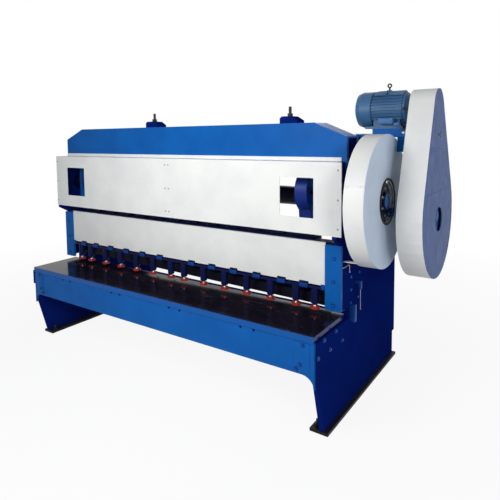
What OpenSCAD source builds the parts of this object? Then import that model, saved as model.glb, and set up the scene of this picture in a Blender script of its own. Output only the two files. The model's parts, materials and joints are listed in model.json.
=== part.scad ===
// Mechanical guillotine shear with an overhead crankshaft.
// X runs along the table, Y runs from the table's front edge to the back, Z is up.
// The origin is on the floor, at the middle of the four anchor bolts.

/* [Side frames and feet] */
// Distance between the outer faces of the two side frames
frame_span = 3504; // [3300:2:3800]
// Thickness of each side frame plate
frame_t = 40; // [30:1:60]
// Setback of the feet from the table's front edge
foot_set = 135; // [80:5:200]
// Length of each foot plate
foot_len = 1665; // [1600:5:1900]
// Thickness of a foot plate
foot_t = 24; // [16:1:40]
// How far a foot plate stands out beyond its frame
foot_out = 34; // [20:1:60]
// Width of a foot plate
foot_w = 150; // [130:5:200]
// How far the frame stops short of each end of its foot plate
foot_margin = 10; // [5:1:30]
// Distance of the anchor holes from the ends of a foot plate
anchor_end = 60; // [40:5:100]
// Radius of an anchor hole
anchor_r = 14; // [8:1:20]
// Height at which the front of the leg starts to lean back
leg_taper_z = 430; // [300:5:480]
// Height of the small step in the frame's back edge
step_z = 238; // [150:2:400]
// Depth of that step
step_d = 58; // [20:2:100]
// Height at which the back edge starts to slope forward
shoulder_z = 1200; // [1000:10:1600]
// Distance of the rear tie's front face from the back of the feet
tie_in = 300; // [200:5:500]
// Thickness of the rear tie
tie_t = 50; // [30:1:80]
// Bottom of the rear tie
tie_z = 300; // [200:5:500]
// Height of the rear tie
tie_h = 140; // [80:5:250]

/* [Table and bed] */
// Height of the table's top
table_z = 800; // [760:5:860]
// Half of the table's length is this much less than half of the frame span
table_in = 17; // [5:1:60]
// Thickness of the table top
table_t = 50; // [40:1:70]
// Depth of the table from its front edge to the lower blade
table_d = 560; // [540:1:570]
// Height of the apron below the table top
apron_h = 254; // [200:2:300]
// Thickness of the apron plate
apron_t = 25; // [15:1:40]
// Setback of the apron from the table's front edge
apron_set = 8; // [0:1:20]
// Radius of the hollow corner below each end of the apron
apron_corner_r = 100; // [60:5:120]
// Distance from the table's end to the middle of the outer pair of arm holes
arm_hole_end = 580; // [400:5:700]
// Half of the distance between the two holes of a pair
arm_hole_half = 62; // [40:1:90]
// Depth of the arm holes below the table's top
arm_hole_drop = 65; // [60:1:120]
// Radius of an arm hole
arm_hole_r = 13; // [8:1:16]
// Thickness of the bed beam
bed_t = 90; // [50:1:120]
// Depth of the bed beam below the lower blade
bed_h = 230; // [150:5:260]
// Thickness of each blade
blade_t = 25; // [18:1:30]
// Height of each blade
blade_h = 90; // [60:1:110]
// Gap between the blades' ends and the guide rails
blade_end_gap = 52; // [10:1:80]
// Running gap between the two blades
blade_gap = 1; // [0.5:0.1:2]

/* [Crown] */
// Height of the crown's plates above the crankshaft
crown_rise = 232; // [225:1:240]
// Setback of the crown's front plate from the front strips
crown_in = 73; // [60:1:90]
// How far the crown stands out beyond the frames
crown_out = 12; // [4:1:20]
// Thickness of the crown's plates
crown_t = 35; // [20:1:40]
// Depth of the crown over both plates
crown_d = 254; // [230:2:300]
// Length of the slope at each upper corner
slope_x = 283; // [200:1:350]
// Drop of the slope at each upper corner
slope_z = 117; // [80:1:120]
// Thickness of the top plate and its slopes
crown_top_t = 25; // [12:1:40]
// Thickness of the slopes at their lower ends
crown_low_t = 11; // [6:1:20]

/* [Front covers] */
// How far the upper cover stands forward of the front strips
cover_forward = 92; // [70:1:120]
// Sheet thickness of the covers and guards
sheet_t = 4; // [2:0.5:8]
// How far the left cover stands out beyond its frame
cover_out_left = 8; // [5:1:40]
// How far the right cover stands out beyond its frame
cover_out_right = 38; // [5:1:60]
// Distance from the crankshaft down to the upper cover's bottom edge
cover_drop = 261; // [220:1:280]
// How far the upper cover laps over the crown's plates
cover_lap = 80; // [40:1:110]
// Depth of the cover's turned edges
cover_edge = 12; // [6:1:80]
// Distance of the windows from the side frames' outer faces
window_in = 194; // [150:1:250]
// Width of a window
window_w = 303; // [200:1:350]
// Distance from the crankshaft down to the windows' bottom edge
window_drop = 134; // [100:1:180]
// Height of the windows
window_h = 318; // [250:1:350]
// Height of the strip above the cover's top
top_strip_rise = 30; // [10:1:50]
// Distance of that strip's right end from the side frame's outer face
top_strip_in = 30; // [0:1:60]
// Height of the lower panel's bottom edge above the hold-down beam's
panel_rise = 34; // [20:1:60]
// Height of the lower panel
panel_h = 357; // [300:1:361]
// Setback of the lower panel from the front strips
panel_in = 10; // [5:1:20]
// Gap on each side of a lug in its notch
notch_gap = 4; // [2:0.5:10]
// Height of the notches in the lower panel's lip
notch_h = 16; // [10:1:20]

/* [Front strips] */
// Gap between the hold-down beam and the upper blade
hold_beam_gap = 21; // [10:1:30]
// Width of a front strip
strip_w = 137; // [110:1:150]
// Thickness of a front strip
strip_t = 30; // [20:1:36]
// Gap between the table and the strips, which is the throat
throat_gap = 45; // [40:1:80]
// Height of the front strips
strip_h = 530; // [450:1:550]
// Rise of the flare above the strips
flare_h = 65; // [40:1:80]
// Depth of the throat behind the ram's front face
throat_in = 9; // [2:1:60]

/* [Hold-downs] */
// Distance of the outer hold-downs from the side frames
hold_end = 201; // [180:1:320]
// Spacing of the two middle ones, and of each end pair
hold_short = 174; // [150:1:190]
// Full spacings on each side of the middle
hold_count = 5; // [3:1:5]
// Setback of the hold-downs from the beam's front face
hold_in = 7; // [4:1:42]
// Radius of a hold-down cylinder
hold_r = 33; // [28:1:33]
// Length of a cylinder below its beam
hold_len = 130; // [100:1:140]
// Radius of a hold-down rod
rod_r = 12; // [8:0.5:16]
// Radius of a pressure pad
pad_r = 39; // [30:1:42]
// Thickness of a pressure pad
pad_t = 20; // [15:1:30]
// Height of the pads above the table at rest
pad_lift = 25; // [25:1:30]
// Height of the hold-down beam's bottom above the table
hold_beam_rise = 200; // [190:1:210]
// Height of the hold-down beam
hold_beam_h = 395; // [380:1:400]
// Depth of the hold-down beam
hold_beam_d = 84; // [80:1:88]
// Width of the lugs between the hold-downs
lug_w = 76; // [50:1:80]
// Height of those lugs
lug_h = 46; // [30:1:48]
// How far those lugs stand out from the beam
lug_d = 30; // [27:1:34]
// How far the beam's flange over the cylinders stands out
hold_flange_d = 26; // [26:1:27]
// Thickness of that flange
hold_flange_t = 20; // [12:1:24]
// Length of a rod inside its cylinder's upper wall
rod_end = 25; // [20:1:40]
// Gap left above a rod
rod_room = 10; // [5:1:15]

/* [Ram and crank] */
// Stroke of the ram
stroke = 100; // [60:2:120]
// Thickness of the ram's plate
ram_t = 50; // [30:1:60]
// Gap between the ram's ends and the side frames
ram_gap = 8; // [5:1:20]
// Width of the guide rails on the side frames
guide_w = 60; // [40:1:80]
// Depth of a guide rail
guide_d = 40; // [30:1:50]
// Height of the guide rails' ends above the throat
guide_rise = 60; // [20:1:100]
// Height of the ram's plate above the table
ram_rise = 330; // [310:1:340]
// Height of the upper blade's low end above the table at rest
blade_lift = 25; // [15:1:60]
// Drop of the upper blade from its high end to its low end
blade_rake = 55; // [30:1:70]
// Height of the ram's lower edge above the upper blade's
blade_low = 30; // [15:1:50]
// Height of the crankshaft above the table
crank_rise = 928; // [900:1:980]
// Radius of the crankshaft
crank_r = 80; // [60:1:90]
// Gap between a pitman and its bearing web
pitman_gap = 45; // [35:1:60]
// Width of a pitman
pitman_w = 110; // [80:1:120]
// Radius of an eccentric
eccentric_r = 142; // [141:1:150]
// Wall of a pitman's big end
pitman_wall = 45; // [30:1:55]
// Radius of a pitman's small end
small_end_r = 60; // [50:1:64]
// Radius of a ram pin
ram_pin_r = 30; // [20:1:36]
// Height of a ram pin above the ram's plate at rest
ram_pin_rise = 95; // [85:1:105]
// Thickness of a ram lug
ram_lug_t = 14; // [10:1:20]
// Gap between a ram lug and the pitman
ram_lug_gap = 8; // [5:1:12]
// Depth of a ram lug
ram_lug_d = 100; // [90:1:120]
// Wall of a ram lug around its slot
ram_lug_wall = 40; // [20:1:50]
// Gap around a ram pin in its slot
slot_gap = 5; // [3:0.5:8]
// Gap between a bearing web and the side frame
web_gap = 162; // [120:1:200]
// Thickness of a bearing web
web_t = 60; // [40:1:70]
// Radius of a crankshaft bearing's flange, as a share of the round guard's
bearing_flange_share = 0.384; // [0.35:0.001:0.4]
// Radius of a crankshaft bearing's hub
bearing_hub_r = 140; // [110:1:145]
// Length of a crankshaft bearing
bearing_len = 90; // [60:1:110]

/* [Balance blocks] */
// Place of the left block along the crown
block_left_x = -409; // [-600:1:-300]
// Distance of the right block from the side frame's outer face
block_right_in = 538; // [400:1:700]
// Width of a block
block_w = 170; // [120:2:200]
// Height of a block
block_h = 62; // [40:1:80]
// Depth of a block
block_d = 130; // [90:2:160]
// Radius of the stud
stud_r = 13; // [8:1:18]
// Height of the stud above the block
stud_h = 84; // [50:1:110]
// Radius over the corners of the nut at its foot
nut_r = 26; // [18:1:36]
// Height of that nut
nut_h = 26; // [15:1:36]

/* [Round guard] */
// Radius of the round guard
drum_r = 521; // [500:1:530]
// Distance of the round guard from the side frame
drum_gap = 143; // [130:1:150]
// Depth of the round guard
drum_d = 150; // [120:1:155]
// Radius of the hub hole
drum_hole_r = 175; // [150:1:190]
// Radius of the clutch hub
clutch_r = 150; // [120:1:160]
// Distance of the clutch hub's back inside the round guard's face
clutch_in = 50; // [40:1:60]
// Depth of the hub's step
clutch_step = 30; // [20:1:36]
// Length of the hub
clutch_len = 44; // [38:1:49]
// Depth of the guard's turned edge at the back
drum_edge = 40; // [20:1:60]
// Width of the straps that carry the guard
strap_w = 40; // [25:1:60]
// Thickness of those straps
strap_t = 6; // [4:1:10]
// Depth of the flywheel's shaft inside the guard's rim
pinion_in = 172; // [120:1:200]

/* [Belt guard and flywheel] */
// Distance of the belt guard from the side frame
belt_gap = 403; // [395:1:430]
// Depth of the belt guard
belt_d = 192; // [180:1:220]
// Radius of the belt guard's lower end
belt_big_r = 498; // [490:1:520]
// Radius of the belt guard's upper end
belt_small_r = 156; // [150:1:165]
// How far forward of the motor's shaft the belt guard's upper end sits
belt_lean = 45; // [0:1:50]
// Drop of that end below the motor's shaft
belt_top_drop = 12; // [0:1:20]
// Distance from the crankshaft down to the flywheel's shaft
fly_drop = 138; // [100:1:150]
// Radius of the hole in the belt guard's face
belt_hole_r = 98; // [60:1:110]
// Distance from the flywheel's shaft down to that hole's middle
belt_hole_drop = 24; // [0:1:30]
// Radius of the flywheel
fly_r = 455; // [420:1:460]
// Width of the flywheel's rim
fly_w = 120; // [90:1:130]
// Depth of the flywheel's rim
fly_rim = 60; // [40:1:80]
// Thickness of the flywheel's web
fly_web_t = 30; // [20:1:50]
// Radius of the flywheel's hub
fly_hub_r = 150; // [130:1:160]
// Radius of the posts that carry the belt guard
post_r = 16; // [10:1:25]
// Setback of those posts from the flywheel's shaft
post_back = 300; // [250:1:330]
// Height of the upper post above the flywheel's shaft
post_up = 260; // [200:1:300]
// Drop of the lower post below the flywheel's shaft
post_down = 300; // [200:1:320]
// Radius of the flywheel's shaft
fly_shaft_r = 40; // [30:1:50]
// Gap around a shaft where it passes through a plate
shaft_room = 20; // [10:1:24]
// Radius of its bearing's flange, as a share of the round guard's
shaft_flange_share = 0.23; // [0.2:0.001:0.25]
// Radius of its bearing's hub
shaft_hub_r = 80; // [60:1:84]
// Length of its bearing
shaft_bearing_len = 110; // [80:1:130]
// Radius of the motor's pulley
pulley_r = 78; // [65:1:90]
// Thickness of the belts
belt_t = 12; // [8:1:16]

/* [Motor] */
// Gap between the motor and its base
motor_gap = 12; // [10:1:30]
// Radius over the fins
motor_r = 150; // [135:1:152]
// Height of a fin
fin_h = 16; // [8:1:24]
// Left end of the motor, from the outer face of the side frame
motor_in = 62; // [50:1:100]
// Length of the fan cowl
cowl_len = 137; // [110:1:145]
// Length of the finned body
body_len = 253; // [240:1:260]
// Length of the end shield
shield_len = 60; // [50:1:65]
// How far the end shield's radius is less than the fins'
shield_less = 20; // [10:1:30]
// Number of the fins on each side, less one
fin_count = 11; // [8:1:12]
// Thickness of a fin
fin_t = 6; // [4:0.5:8]
// Radius of the boss under the lifting eye
boss_r = 22; // [16:1:26]
// Height of that boss above the fins
boss_h = 7; // [4:1:12]
// Radius of the motor's shaft
motor_shaft_r = 21; // [16:1:24]
// Height of the motor's base
base_h = 43; // [30:1:50]
// Half depth of the motor's base
base_half = 150; // [130:1:170]
// Distance of the base's left end from the side frame
base_in = 100; // [60:1:120]
// Half of the distance between the motor's feet
motor_foot_set = 95; // [80:1:100]
// Half width of a foot of the motor
motor_foot_half = 45; // [30:1:50]
// How far the feet reach back under the cowl
motor_foot_back = 40; // [20:1:60]
// Thickness of a foot of the motor
motor_foot_t = 20; // [12:1:25]
// Height of the terminal box
box_h = 45; // [40:1:50]
// Distance from the motor's middle down to the box
box_drop = 79; // [76:1:82]
// Distance of the box's ends from the ends of the finned body
box_in = 68; // [50:1:80]
// Distance of the box to the right of the body's middle
box_right = 12; // [0:1:20]
// How far the box stands out beyond the fins
box_out = 25; // [15:1:40]
// Height of the lifting eye's middle above the motor
eye_h = 44; // [40:1:50]
// Radius of the lifting eye's ring
eye_r = 14; // [12:1:18]
// Radius of the lifting eye's wire
eye_wire_r = 6; // [5:1:7]
// Distance of the eye to the left of the body's middle
eye_left = 10; // [0:1:20]
// Thickness of the shelf that carries the motor
shelf_t = 28; // [20:1:32]
// Drop of the shelf below the top of the round guard
shelf_drop = 27; // [20:1:30]
// Gap between the shelf and the belt guard
shelf_gap = 45; // [30:1:60]
// Distance of the shelf's column in front of the flywheel's shaft
column_in = 40; // [20:1:60]
// Drop of the shelf's column
column_h = 117; // [80:1:150]
// Width of the shelf's column
column_w = 60; // [40:1:60]
// Depth of the shelf's column
column_d = 90; // [60:1:120]

/* [Side bracket] */
// How far the bracket stands out from the left frame
bracket_out = 43; // [30:1:60]
// Setback of the bracket from the table's front edge
bracket_set = 24; // [10:1:60]
// Depth of the bracket
bracket_d = 36; // [25:1:60]
// Height of the bracket
bracket_h = 150; // [100:1:200]
// Radius of the bracket's bolts
bracket_bolt_r = 9; // [6:1:14]
// Distance of those bolts from the bracket's ends
bracket_bolt_end = 20; // [15:1:40]

/* [Hidden] */
$fn = 64;

front_y = -(foot_set + foot_len / 2);
frame_half = frame_span / 2;
frame_in = frame_half - frame_t;
table_half = frame_half - table_in;
under_z = table_z - table_t;
throat_z = table_z + throat_gap;
strip_z1 = throat_z + strip_h;
apron_z = under_z - apron_h;
foot_x1 = frame_half + foot_out;
foot_x0 = foot_x1 - foot_w;
foot_end = foot_set + foot_len;
frame_back = foot_end - foot_margin + step_d;
flare_z1 = strip_z1 + flare_h;
crank_z = table_z + crank_rise;
shelf_z = crank_z + drum_r - shelf_drop;
crown_z0 = crank_z + crown_rise;
crown_top_z = shelf_z + slope_z + crown_low_t;
bearing_flange_r = bearing_flange_share * drum_r;
shaft_flange_r = shaft_flange_share * drum_r;
blade_set = table_d + blade_t + blade_gap;
blade_half = frame_in - guide_w - blade_end_gap;
ram_set = blade_set + blade_t;
ram_half = frame_in - ram_gap;
ram_z1 = table_z + ram_rise;
ram_pin_z = ram_z1 + ram_pin_rise;
throat_set = ram_set + throat_in;
hold_beam_set = blade_set - hold_beam_gap - hold_beam_d;
hold_beam_z0 = table_z + hold_beam_rise;
hold_beam_z1 = hold_beam_z0 + hold_beam_h;
hold_set = hold_beam_set + hold_in;
hold_pitch = (frame_in - hold_end - 1.5 * hold_short) / hold_count;
face_set = hold_beam_set - strip_t;
panel_z0 = hold_beam_z0 + panel_rise;
panel_z1 = panel_z0 + panel_h;
cover_set = face_set - cover_forward;
crown_set = face_set + crown_in;
crown_half = frame_half + crown_out;
crown_mid = crown_set + crown_d / 2;
crown_back_set = crown_set + crown_d - crown_t;
crank_set = crown_mid;
lift = stroke / 2;
cover_z0 = crank_z - cover_drop;
cover_z1 = crown_z0 + cover_lap;
window_x1 = frame_half - window_in;
window_x0 = window_x1 - window_w;
window_z0 = crank_z - window_drop;
window_z1 = window_z0 + window_h;
web_x = frame_in - web_gap - web_t;
pitman_x = web_x - pitman_gap - pitman_w;
block_right_x = frame_half - block_right_in;
fly_set = crank_set + drum_r - pinion_in;
fly_z = crank_z - fly_drop;
shelf_end = fly_set + base_half;
shelf_x1 = frame_half + belt_gap - shelf_gap;
base_z = shelf_z + shelf_t + base_h;
motor_z = base_z + motor_gap + motor_r;
drum_x0 = frame_half + drum_gap;
drum_x1 = drum_x0 + drum_d;
clutch_x0 = drum_x1 - clutch_in;
belt_x0 = frame_half + belt_gap;
belt_x1 = belt_x0 + belt_d;
fly_x0 = belt_x0 + (belt_d - fly_w) / 2;
motor_x0 = frame_half - motor_in;
cowl_x1 = motor_x0 + cowl_len;
body_x1 = cowl_x1 + body_len;
shield_x1 = body_x1 + shield_len;
eye_x = (cowl_x1 + body_x1) / 2 - eye_left;
fit_gap = 0.3;
// How far a cut runs past the surface it opens
over = 1;
arc_steps = 24;
// A polygon drawn this much larger lies outside its circle
outer_share = 1 / cos(5);

function back(d) = front_y + d;
function hold_places() = let (inner = hold_short / 2, outer = inner + hold_count * hold_pitch)
    [for (s = [-1, 1], i = [0:hold_count + 1])
        s * (i <= hold_count ? inner + i * hold_pitch : outer + hold_short)];
function lug_places() = let (inner = hold_short / 2, outer = inner + hold_count * hold_pitch)
    [for (s = [-1, 1], i = [0:hold_count])
        s * (i < hold_count ? inner + (i + 0.5) * hold_pitch : outer + hold_short / 2)];

// A block between two corners, given as the ranges of X, of the setback and of Z
module block(x, d, z) {
    translate([x[0], back(d[0]), z[0]]) cube([x[1] - x[0], d[1] - d[0], z[1] - z[0]]);
}

// A profile drawn in setback and height, extruded from x0 to x1
module along_x(x0, x1) {
    translate([x0, front_y, 0]) rotate([90, 0, 90]) linear_extrude(x1 - x0) children();
}

// A profile drawn in X and height, extruded between two setbacks
module along_y(d0, d1) {
    translate([0, back(d1), 0]) rotate([90, 0, 0]) linear_extrude(d1 - d0) children();
}

// A round bar along X at setback d and height z
module bar_x(x0, x1, d, z, r) {
    translate([x0, back(d), z]) rotate([0, 90, 0]) cylinder(h = x1 - x0, r = r);
}

// A turned shape about the X axis at setback d and height z, with [radius, x] points
module turned_x(d, z, points) {
    translate([0, back(d), z]) rotate([0, 90, 0]) rotate_extrude() polygon(points);
}

module left_and_right(side) {
    if (side < 0) mirror([1, 0, 0]) children();
    else children();
}

// Side frame

module frame_outline() {
    polygon([
        [foot_set + foot_margin, foot_t],
        [apron_set + apron_t, leg_taper_z],
        [apron_set + apron_t, under_z],
        [throat_set, under_z],
        [throat_set, throat_z],
        [hold_beam_set, throat_z],
        [hold_beam_set, strip_z1],
        [cover_set + sheet_t, flare_z1],
        [cover_set + sheet_t, cover_z1 - sheet_t],
        [crown_set, cover_z1 - sheet_t],
        [crown_set, crown_z0],
        [crown_set + crown_t, crown_z0],
        [crown_set + crown_t, shelf_z],
        [shelf_end, shelf_z],
        [frame_back, shoulder_z],
        [frame_back, step_z],
        [frame_back - step_d, step_z],
        [frame_back - step_d, foot_t]]);
}

module side_frame() {
    difference() {
        along_x(frame_in, frame_half) difference() {
            frame_outline();
            translate([crown_back_set, crown_z0]) square([crown_t, crown_top_z - crown_z0]);
        }
        bar_x(frame_in - over, frame_half + over, crank_set, crank_z, crank_r + shaft_room / 2);
    }
}

module left_side_frame() { color("#0c1e6a") left_and_right(-1) side_frame(); }

module right_side_frame() {
    color("#0c1e6a") difference() {
        side_frame();
        bar_x(frame_in - over, frame_half + over, fly_set, fly_z, fly_shaft_r + shaft_room);
    }
}

module foot_plate() {
    difference() {
        block([foot_x0, foot_x1], [foot_set, foot_end], [0, foot_t]);
        for (d = [foot_set + anchor_end, foot_end - anchor_end])
            translate([(foot_x0 + frame_in) / 2, back(d), -over]) cylinder(h = foot_t + 2 * over, r = anchor_r);
    }
}

module left_foot_plate() { color("#101018") left_and_right(-1) foot_plate(); }
module right_foot_plate() { color("#101018") foot_plate(); }

// Table and bed

module table_top() {
    color("#15131c") block([-table_half, table_half], [0, table_d], [under_z, table_z]);
}

module apron() {
    outer = table_half - arm_hole_end;
    color("#1464b4") difference() {
        union() {
            block([-table_half, table_half], [apron_set, apron_set + apron_t], [apron_z, under_z]);
            for (s = [-1, 1]) left_and_right(s) along_y(apron_set, apron_set + apron_t) difference() {
                translate([table_half - apron_corner_r, apron_z - apron_corner_r]) square(apron_corner_r);
                translate([table_half - apron_corner_r, apron_z - apron_corner_r]) circle(apron_corner_r);
            }
        }
        for (share = [-1, -1 / 3, 1 / 3, 1], s = [-1, 1])
            translate([share * outer + s * arm_hole_half, back(apron_set + apron_t + over), table_z - arm_hole_drop])
                rotate([90, 0, 0]) cylinder(h = apron_t + 2 * over, r = arm_hole_r);
    }
}

module bed_beam() {
    top = table_z - blade_h;
    color("#0c1e6a") union() {
        block([-frame_in, frame_in], [table_d - bed_t, table_d + blade_t], [top - bed_h, top]);
        block([-frame_in, frame_in], [table_d - bed_t, table_d], [top, under_z]);
    }
}

module rear_tie() {
    set = foot_end - tie_in;
    color("#0c1e6a") block([-frame_in, frame_in], [set, set + tie_t], [tie_z, tie_z + tie_h]);
}

module lower_blade() {
    color("#9a9ca2")
        block([-blade_half, blade_half], [table_d, table_d + blade_t], [table_z - blade_h, table_z]);
}

// Crown

module crown_outline(z0) {
    polygon([
        [-crown_half, z0],
        [-crown_half, crown_top_z - slope_z],
        [-crown_half + slope_x, crown_top_z],
        [crown_half - slope_x, crown_top_z],
        [crown_half, crown_top_z - slope_z],
        [crown_half, z0]]);
}

module crown_front_plate() {
    color("#1464b4") along_y(crown_set, crown_set + crown_t) crown_outline(crown_z0);
}

module crown_back_plate() {
    color("#1464b4") along_y(crown_back_set, crown_back_set + crown_t) crown_outline(crown_z0);
}

module crown_top_plate() {
    low = crown_top_z - slope_z;
    color("#0f52a0") along_y(crown_set + crown_t, crown_back_set) polygon([
        [-crown_half, low],
        [-crown_half + slope_x, crown_top_z],
        [crown_half - slope_x, crown_top_z],
        [crown_half, low],
        [crown_half, low - crown_low_t],
        [crown_half - slope_x, crown_top_z - crown_top_t],
        [-crown_half + slope_x, crown_top_z - crown_top_t],
        [-crown_half, low - crown_low_t]]);
}

module bearing_web() {
    difference() {
        block([web_x, web_x + web_t], [crown_set, crown_back_set + crown_t], [flare_z1, crown_z0]);
        bar_x(web_x - over, web_x + web_t + over, crank_set, crank_z, crank_r + fit_gap);
    }
}

module left_bearing_web() { color("#1464b4") left_and_right(-1) bearing_web(); }
module right_bearing_web() { color("#1464b4") bearing_web(); }

// Front covers

module cover_half(out) {
    x1 = frame_half + out;
    difference() {
        union() {
            block([0, x1], [cover_set, cover_set + sheet_t], [cover_z0, cover_z1]);
            block([x1 - sheet_t, x1], [cover_set + sheet_t, cover_set + cover_edge], [cover_z0, cover_z1]);
        }
        block([window_x0, window_x1], [cover_set - over, cover_set + sheet_t + over], [window_z0, window_z1]);
    }
}

module left_cover() { color("#ededea") left_and_right(-1) cover_half(cover_out_left); }
module right_cover() { color("#ededea") cover_half(cover_out_right); }

module cover_top_strip() {
    color("#ededea") along_x(-frame_half, frame_half - top_strip_in) polygon([
        [cover_set + sheet_t, cover_z1 - sheet_t],
        [cover_set + sheet_t, cover_z1],
        [crown_set - sheet_t, cover_z1],
        [crown_set - sheet_t, cover_z1 + top_strip_rise],
        [crown_set, cover_z1 + top_strip_rise],
        [crown_set, cover_z1 - sheet_t]]);
}

module lower_panel() {
    x1 = frame_half - strip_w;
    d0 = face_set + panel_in;
    notch_w = lug_w + 2 * notch_gap;
    color("#ededea") difference() {
        union() {
            block([-x1, x1], [d0, d0 + sheet_t], [panel_z0, panel_z1]);
            block([-x1, x1], [d0 + sheet_t, hold_beam_set], [panel_z0, panel_z0 + sheet_t]);
            block([-x1, x1], [d0 + sheet_t, hold_beam_set], [panel_z1 - sheet_t, panel_z1]);
        }
        for (x = lug_places())
            block([x - notch_w / 2, x + notch_w / 2], [face_set, hold_beam_set + over],
                [panel_z0 - over, panel_z0 + notch_h]);
    }
}

module front_strip() {
    block([frame_half - strip_w, frame_half], [face_set, hold_beam_set], [throat_z, strip_z1]);
}

module left_front_strip() { color("#1464b4") left_and_right(-1) front_strip(); }
module right_front_strip() { color("#1464b4") front_strip(); }

// Hold-downs

module hold_down_beam() {
    d0 = hold_beam_set;
    flange_x = frame_half - strip_w - panel_in;
    color("#0f2f80") union() {
        block([-frame_in, frame_in], [d0, d0 + hold_beam_d], [hold_beam_z0, hold_beam_z1]);
        block([-flange_x, flange_x], [d0 - hold_flange_d, d0], [hold_beam_z0, hold_beam_z0 + hold_flange_t]);
        for (x = lug_places())
            block([x - lug_w / 2, x + lug_w / 2], [d0 - lug_d, d0], [hold_beam_z0, hold_beam_z0 + lug_h]);
    }
}

module hold_down_cylinders() {
    color("#1a1d3f") for (x = hold_places()) difference() {
        translate([x, back(hold_set), hold_beam_z0 - hold_len]) cylinder(h = hold_len, r = hold_r);
        translate([x, back(hold_set), hold_beam_z0 - hold_len - over])
            cylinder(h = hold_len - rod_end + rod_room + over, r = rod_r + fit_gap);
    }
}

module hold_down_rods() {
    z0 = table_z + pad_lift + pad_t;
    color("#d8dade") for (x = hold_places())
        translate([x, back(hold_set), z0]) cylinder(h = hold_beam_z0 - rod_end - z0, r = rod_r);
}

module hold_down_pads() {
    color("#c8452b") for (x = hold_places())
        translate([x, back(hold_set), table_z + pad_lift]) cylinder(h = pad_t, r = pad_r);
}

// Ram, pitmans and crankshaft

module ram_beam() {
    low = table_z + blade_lift + blade_low;
    lug_x = [pitman_x - ram_lug_gap - ram_lug_t, pitman_x + pitman_w + ram_lug_gap];
    slot_r = ram_pin_r + slot_gap;
    lug_top = ram_pin_z + stroke + slot_r + ram_lug_wall;
    color("#0c1e6a") difference() {
        union() {
            along_y(ram_set, ram_set + ram_t) polygon([
                [-ram_half, low + blade_rake], [-ram_half, ram_z1], [ram_half, ram_z1], [ram_half, low]]);
            for (s = [-1, 1], x = lug_x) left_and_right(s)
                block([x, x + ram_lug_t], [ram_set, ram_set + ram_lug_d], [ram_z1, lug_top]);
        }
        for (s = [-1, 1]) left_and_right(s) along_x(lug_x[0] - over, lug_x[1] + ram_lug_t + over) {
            translate([crank_set, ram_pin_z]) circle(slot_r);
            translate([crank_set, ram_pin_z + stroke]) circle(slot_r);
            translate([crank_set - slot_r, ram_pin_z]) square([2 * slot_r, stroke]);
        }
    }
}

module ram_guides() {
    front = ram_set - fit_gap;
    rear = ram_set + ram_t + fit_gap;
    color("#0c1e6a") for (s = [-1, 1], d = [front - guide_d, rear]) left_and_right(s)
        block([frame_in - guide_w, frame_in], [d, d + guide_d], [throat_z + guide_rise, ram_z1 + stroke]);
}

module upper_blade() {
    low = table_z + blade_lift;
    color("#9a9ca2") along_y(blade_set, blade_set + blade_t) polygon([
        [-blade_half, low + blade_rake], [-blade_half, low + blade_rake + blade_h],
        [blade_half, low + blade_h], [blade_half, low]]);
}

module crankshaft() {
    color("#2a2c34") union() {
        bar_x(-frame_half - bearing_len + 20, clutch_x0, crank_set, crank_z, crank_r);
        for (s = [-1, 1]) left_and_right(s)
            bar_x(pitman_x, pitman_x + pitman_w, crank_set, crank_z + lift, eccentric_r);
    }
}

module pitman() {
    x1 = pitman_x + pitman_w;
    top_z = crank_z + lift;
    big_r = eccentric_r + pitman_wall;
    pin_out = ram_lug_gap + ram_lug_t + 2;
    difference() {
        union() {
            bar_x(pitman_x, x1, crank_set, top_z, big_r);
            bar_x(pitman_x, x1, crank_set, ram_pin_z, small_end_r);
            along_x(pitman_x, x1) polygon([
                [crank_set - small_end_r, ram_pin_z], [crank_set - big_r * 0.6, top_z - big_r * 0.7],
                [crank_set + big_r * 0.6, top_z - big_r * 0.7], [crank_set + small_end_r, ram_pin_z]]);
            bar_x(pitman_x - pin_out, x1 + pin_out, crank_set, ram_pin_z, ram_pin_r);
        }
        bar_x(pitman_x - over, x1 + over, crank_set, top_z, eccentric_r + fit_gap);
    }
}

module left_pitman() { color("#0f2f80") left_and_right(-1) pitman(); }
module right_pitman() { color("#0f2f80") pitman(); }

module frame_bearing() {
    x = frame_half;
    turned_x(crank_set, crank_z, [
        [crank_r + fit_gap, x], [bearing_flange_r, x], [bearing_flange_r, x + bearing_len / 3],
        [bearing_hub_r * 1.07, x + bearing_len / 2], [bearing_hub_r, x + bearing_len],
        [crank_r + fit_gap, x + bearing_len]]);
}

module left_bearing() { color("#0f2f80") left_and_right(-1) frame_bearing(); }
module right_bearing() { color("#0f2f80") frame_bearing(); }

// Balance blocks on the crown

module balance_blocks() {
    color("#0c2a78") for (x = [block_left_x, block_right_x])
        translate([x, 0, crown_top_z]) along_y(crown_mid - block_d / 2, crown_mid + block_d / 2) polygon([
            [-block_w / 2, 0], [-block_w / 2, block_h * 0.75], [-block_w * 0.38, block_h],
            [block_w * 0.15, block_h], [block_w / 2, block_h * 0.4], [block_w / 2, 0]]);
}

module balance_studs() {
    color("#1c1c24") for (x = [block_left_x, block_right_x])
        translate([x - block_w * 0.1, back(crown_mid), crown_top_z + block_h]) {
            cylinder(h = nut_h, r = nut_r, $fn = 6);
            cylinder(h = stud_h, r = stud_r);
        }
}

// Round guard over the gear end of the crankshaft

module round_guard_rim() {
    color("#eeeef2") turned_x(crank_set, crank_z, [
        [drum_r - drum_edge, drum_x0], [drum_r, drum_x0], [drum_r, drum_x1 - sheet_t],
        [drum_r - sheet_t, drum_x1 - sheet_t], [drum_r - sheet_t, drum_x0 + sheet_t],
        [drum_r - drum_edge, drum_x0 + sheet_t]]);
}

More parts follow.
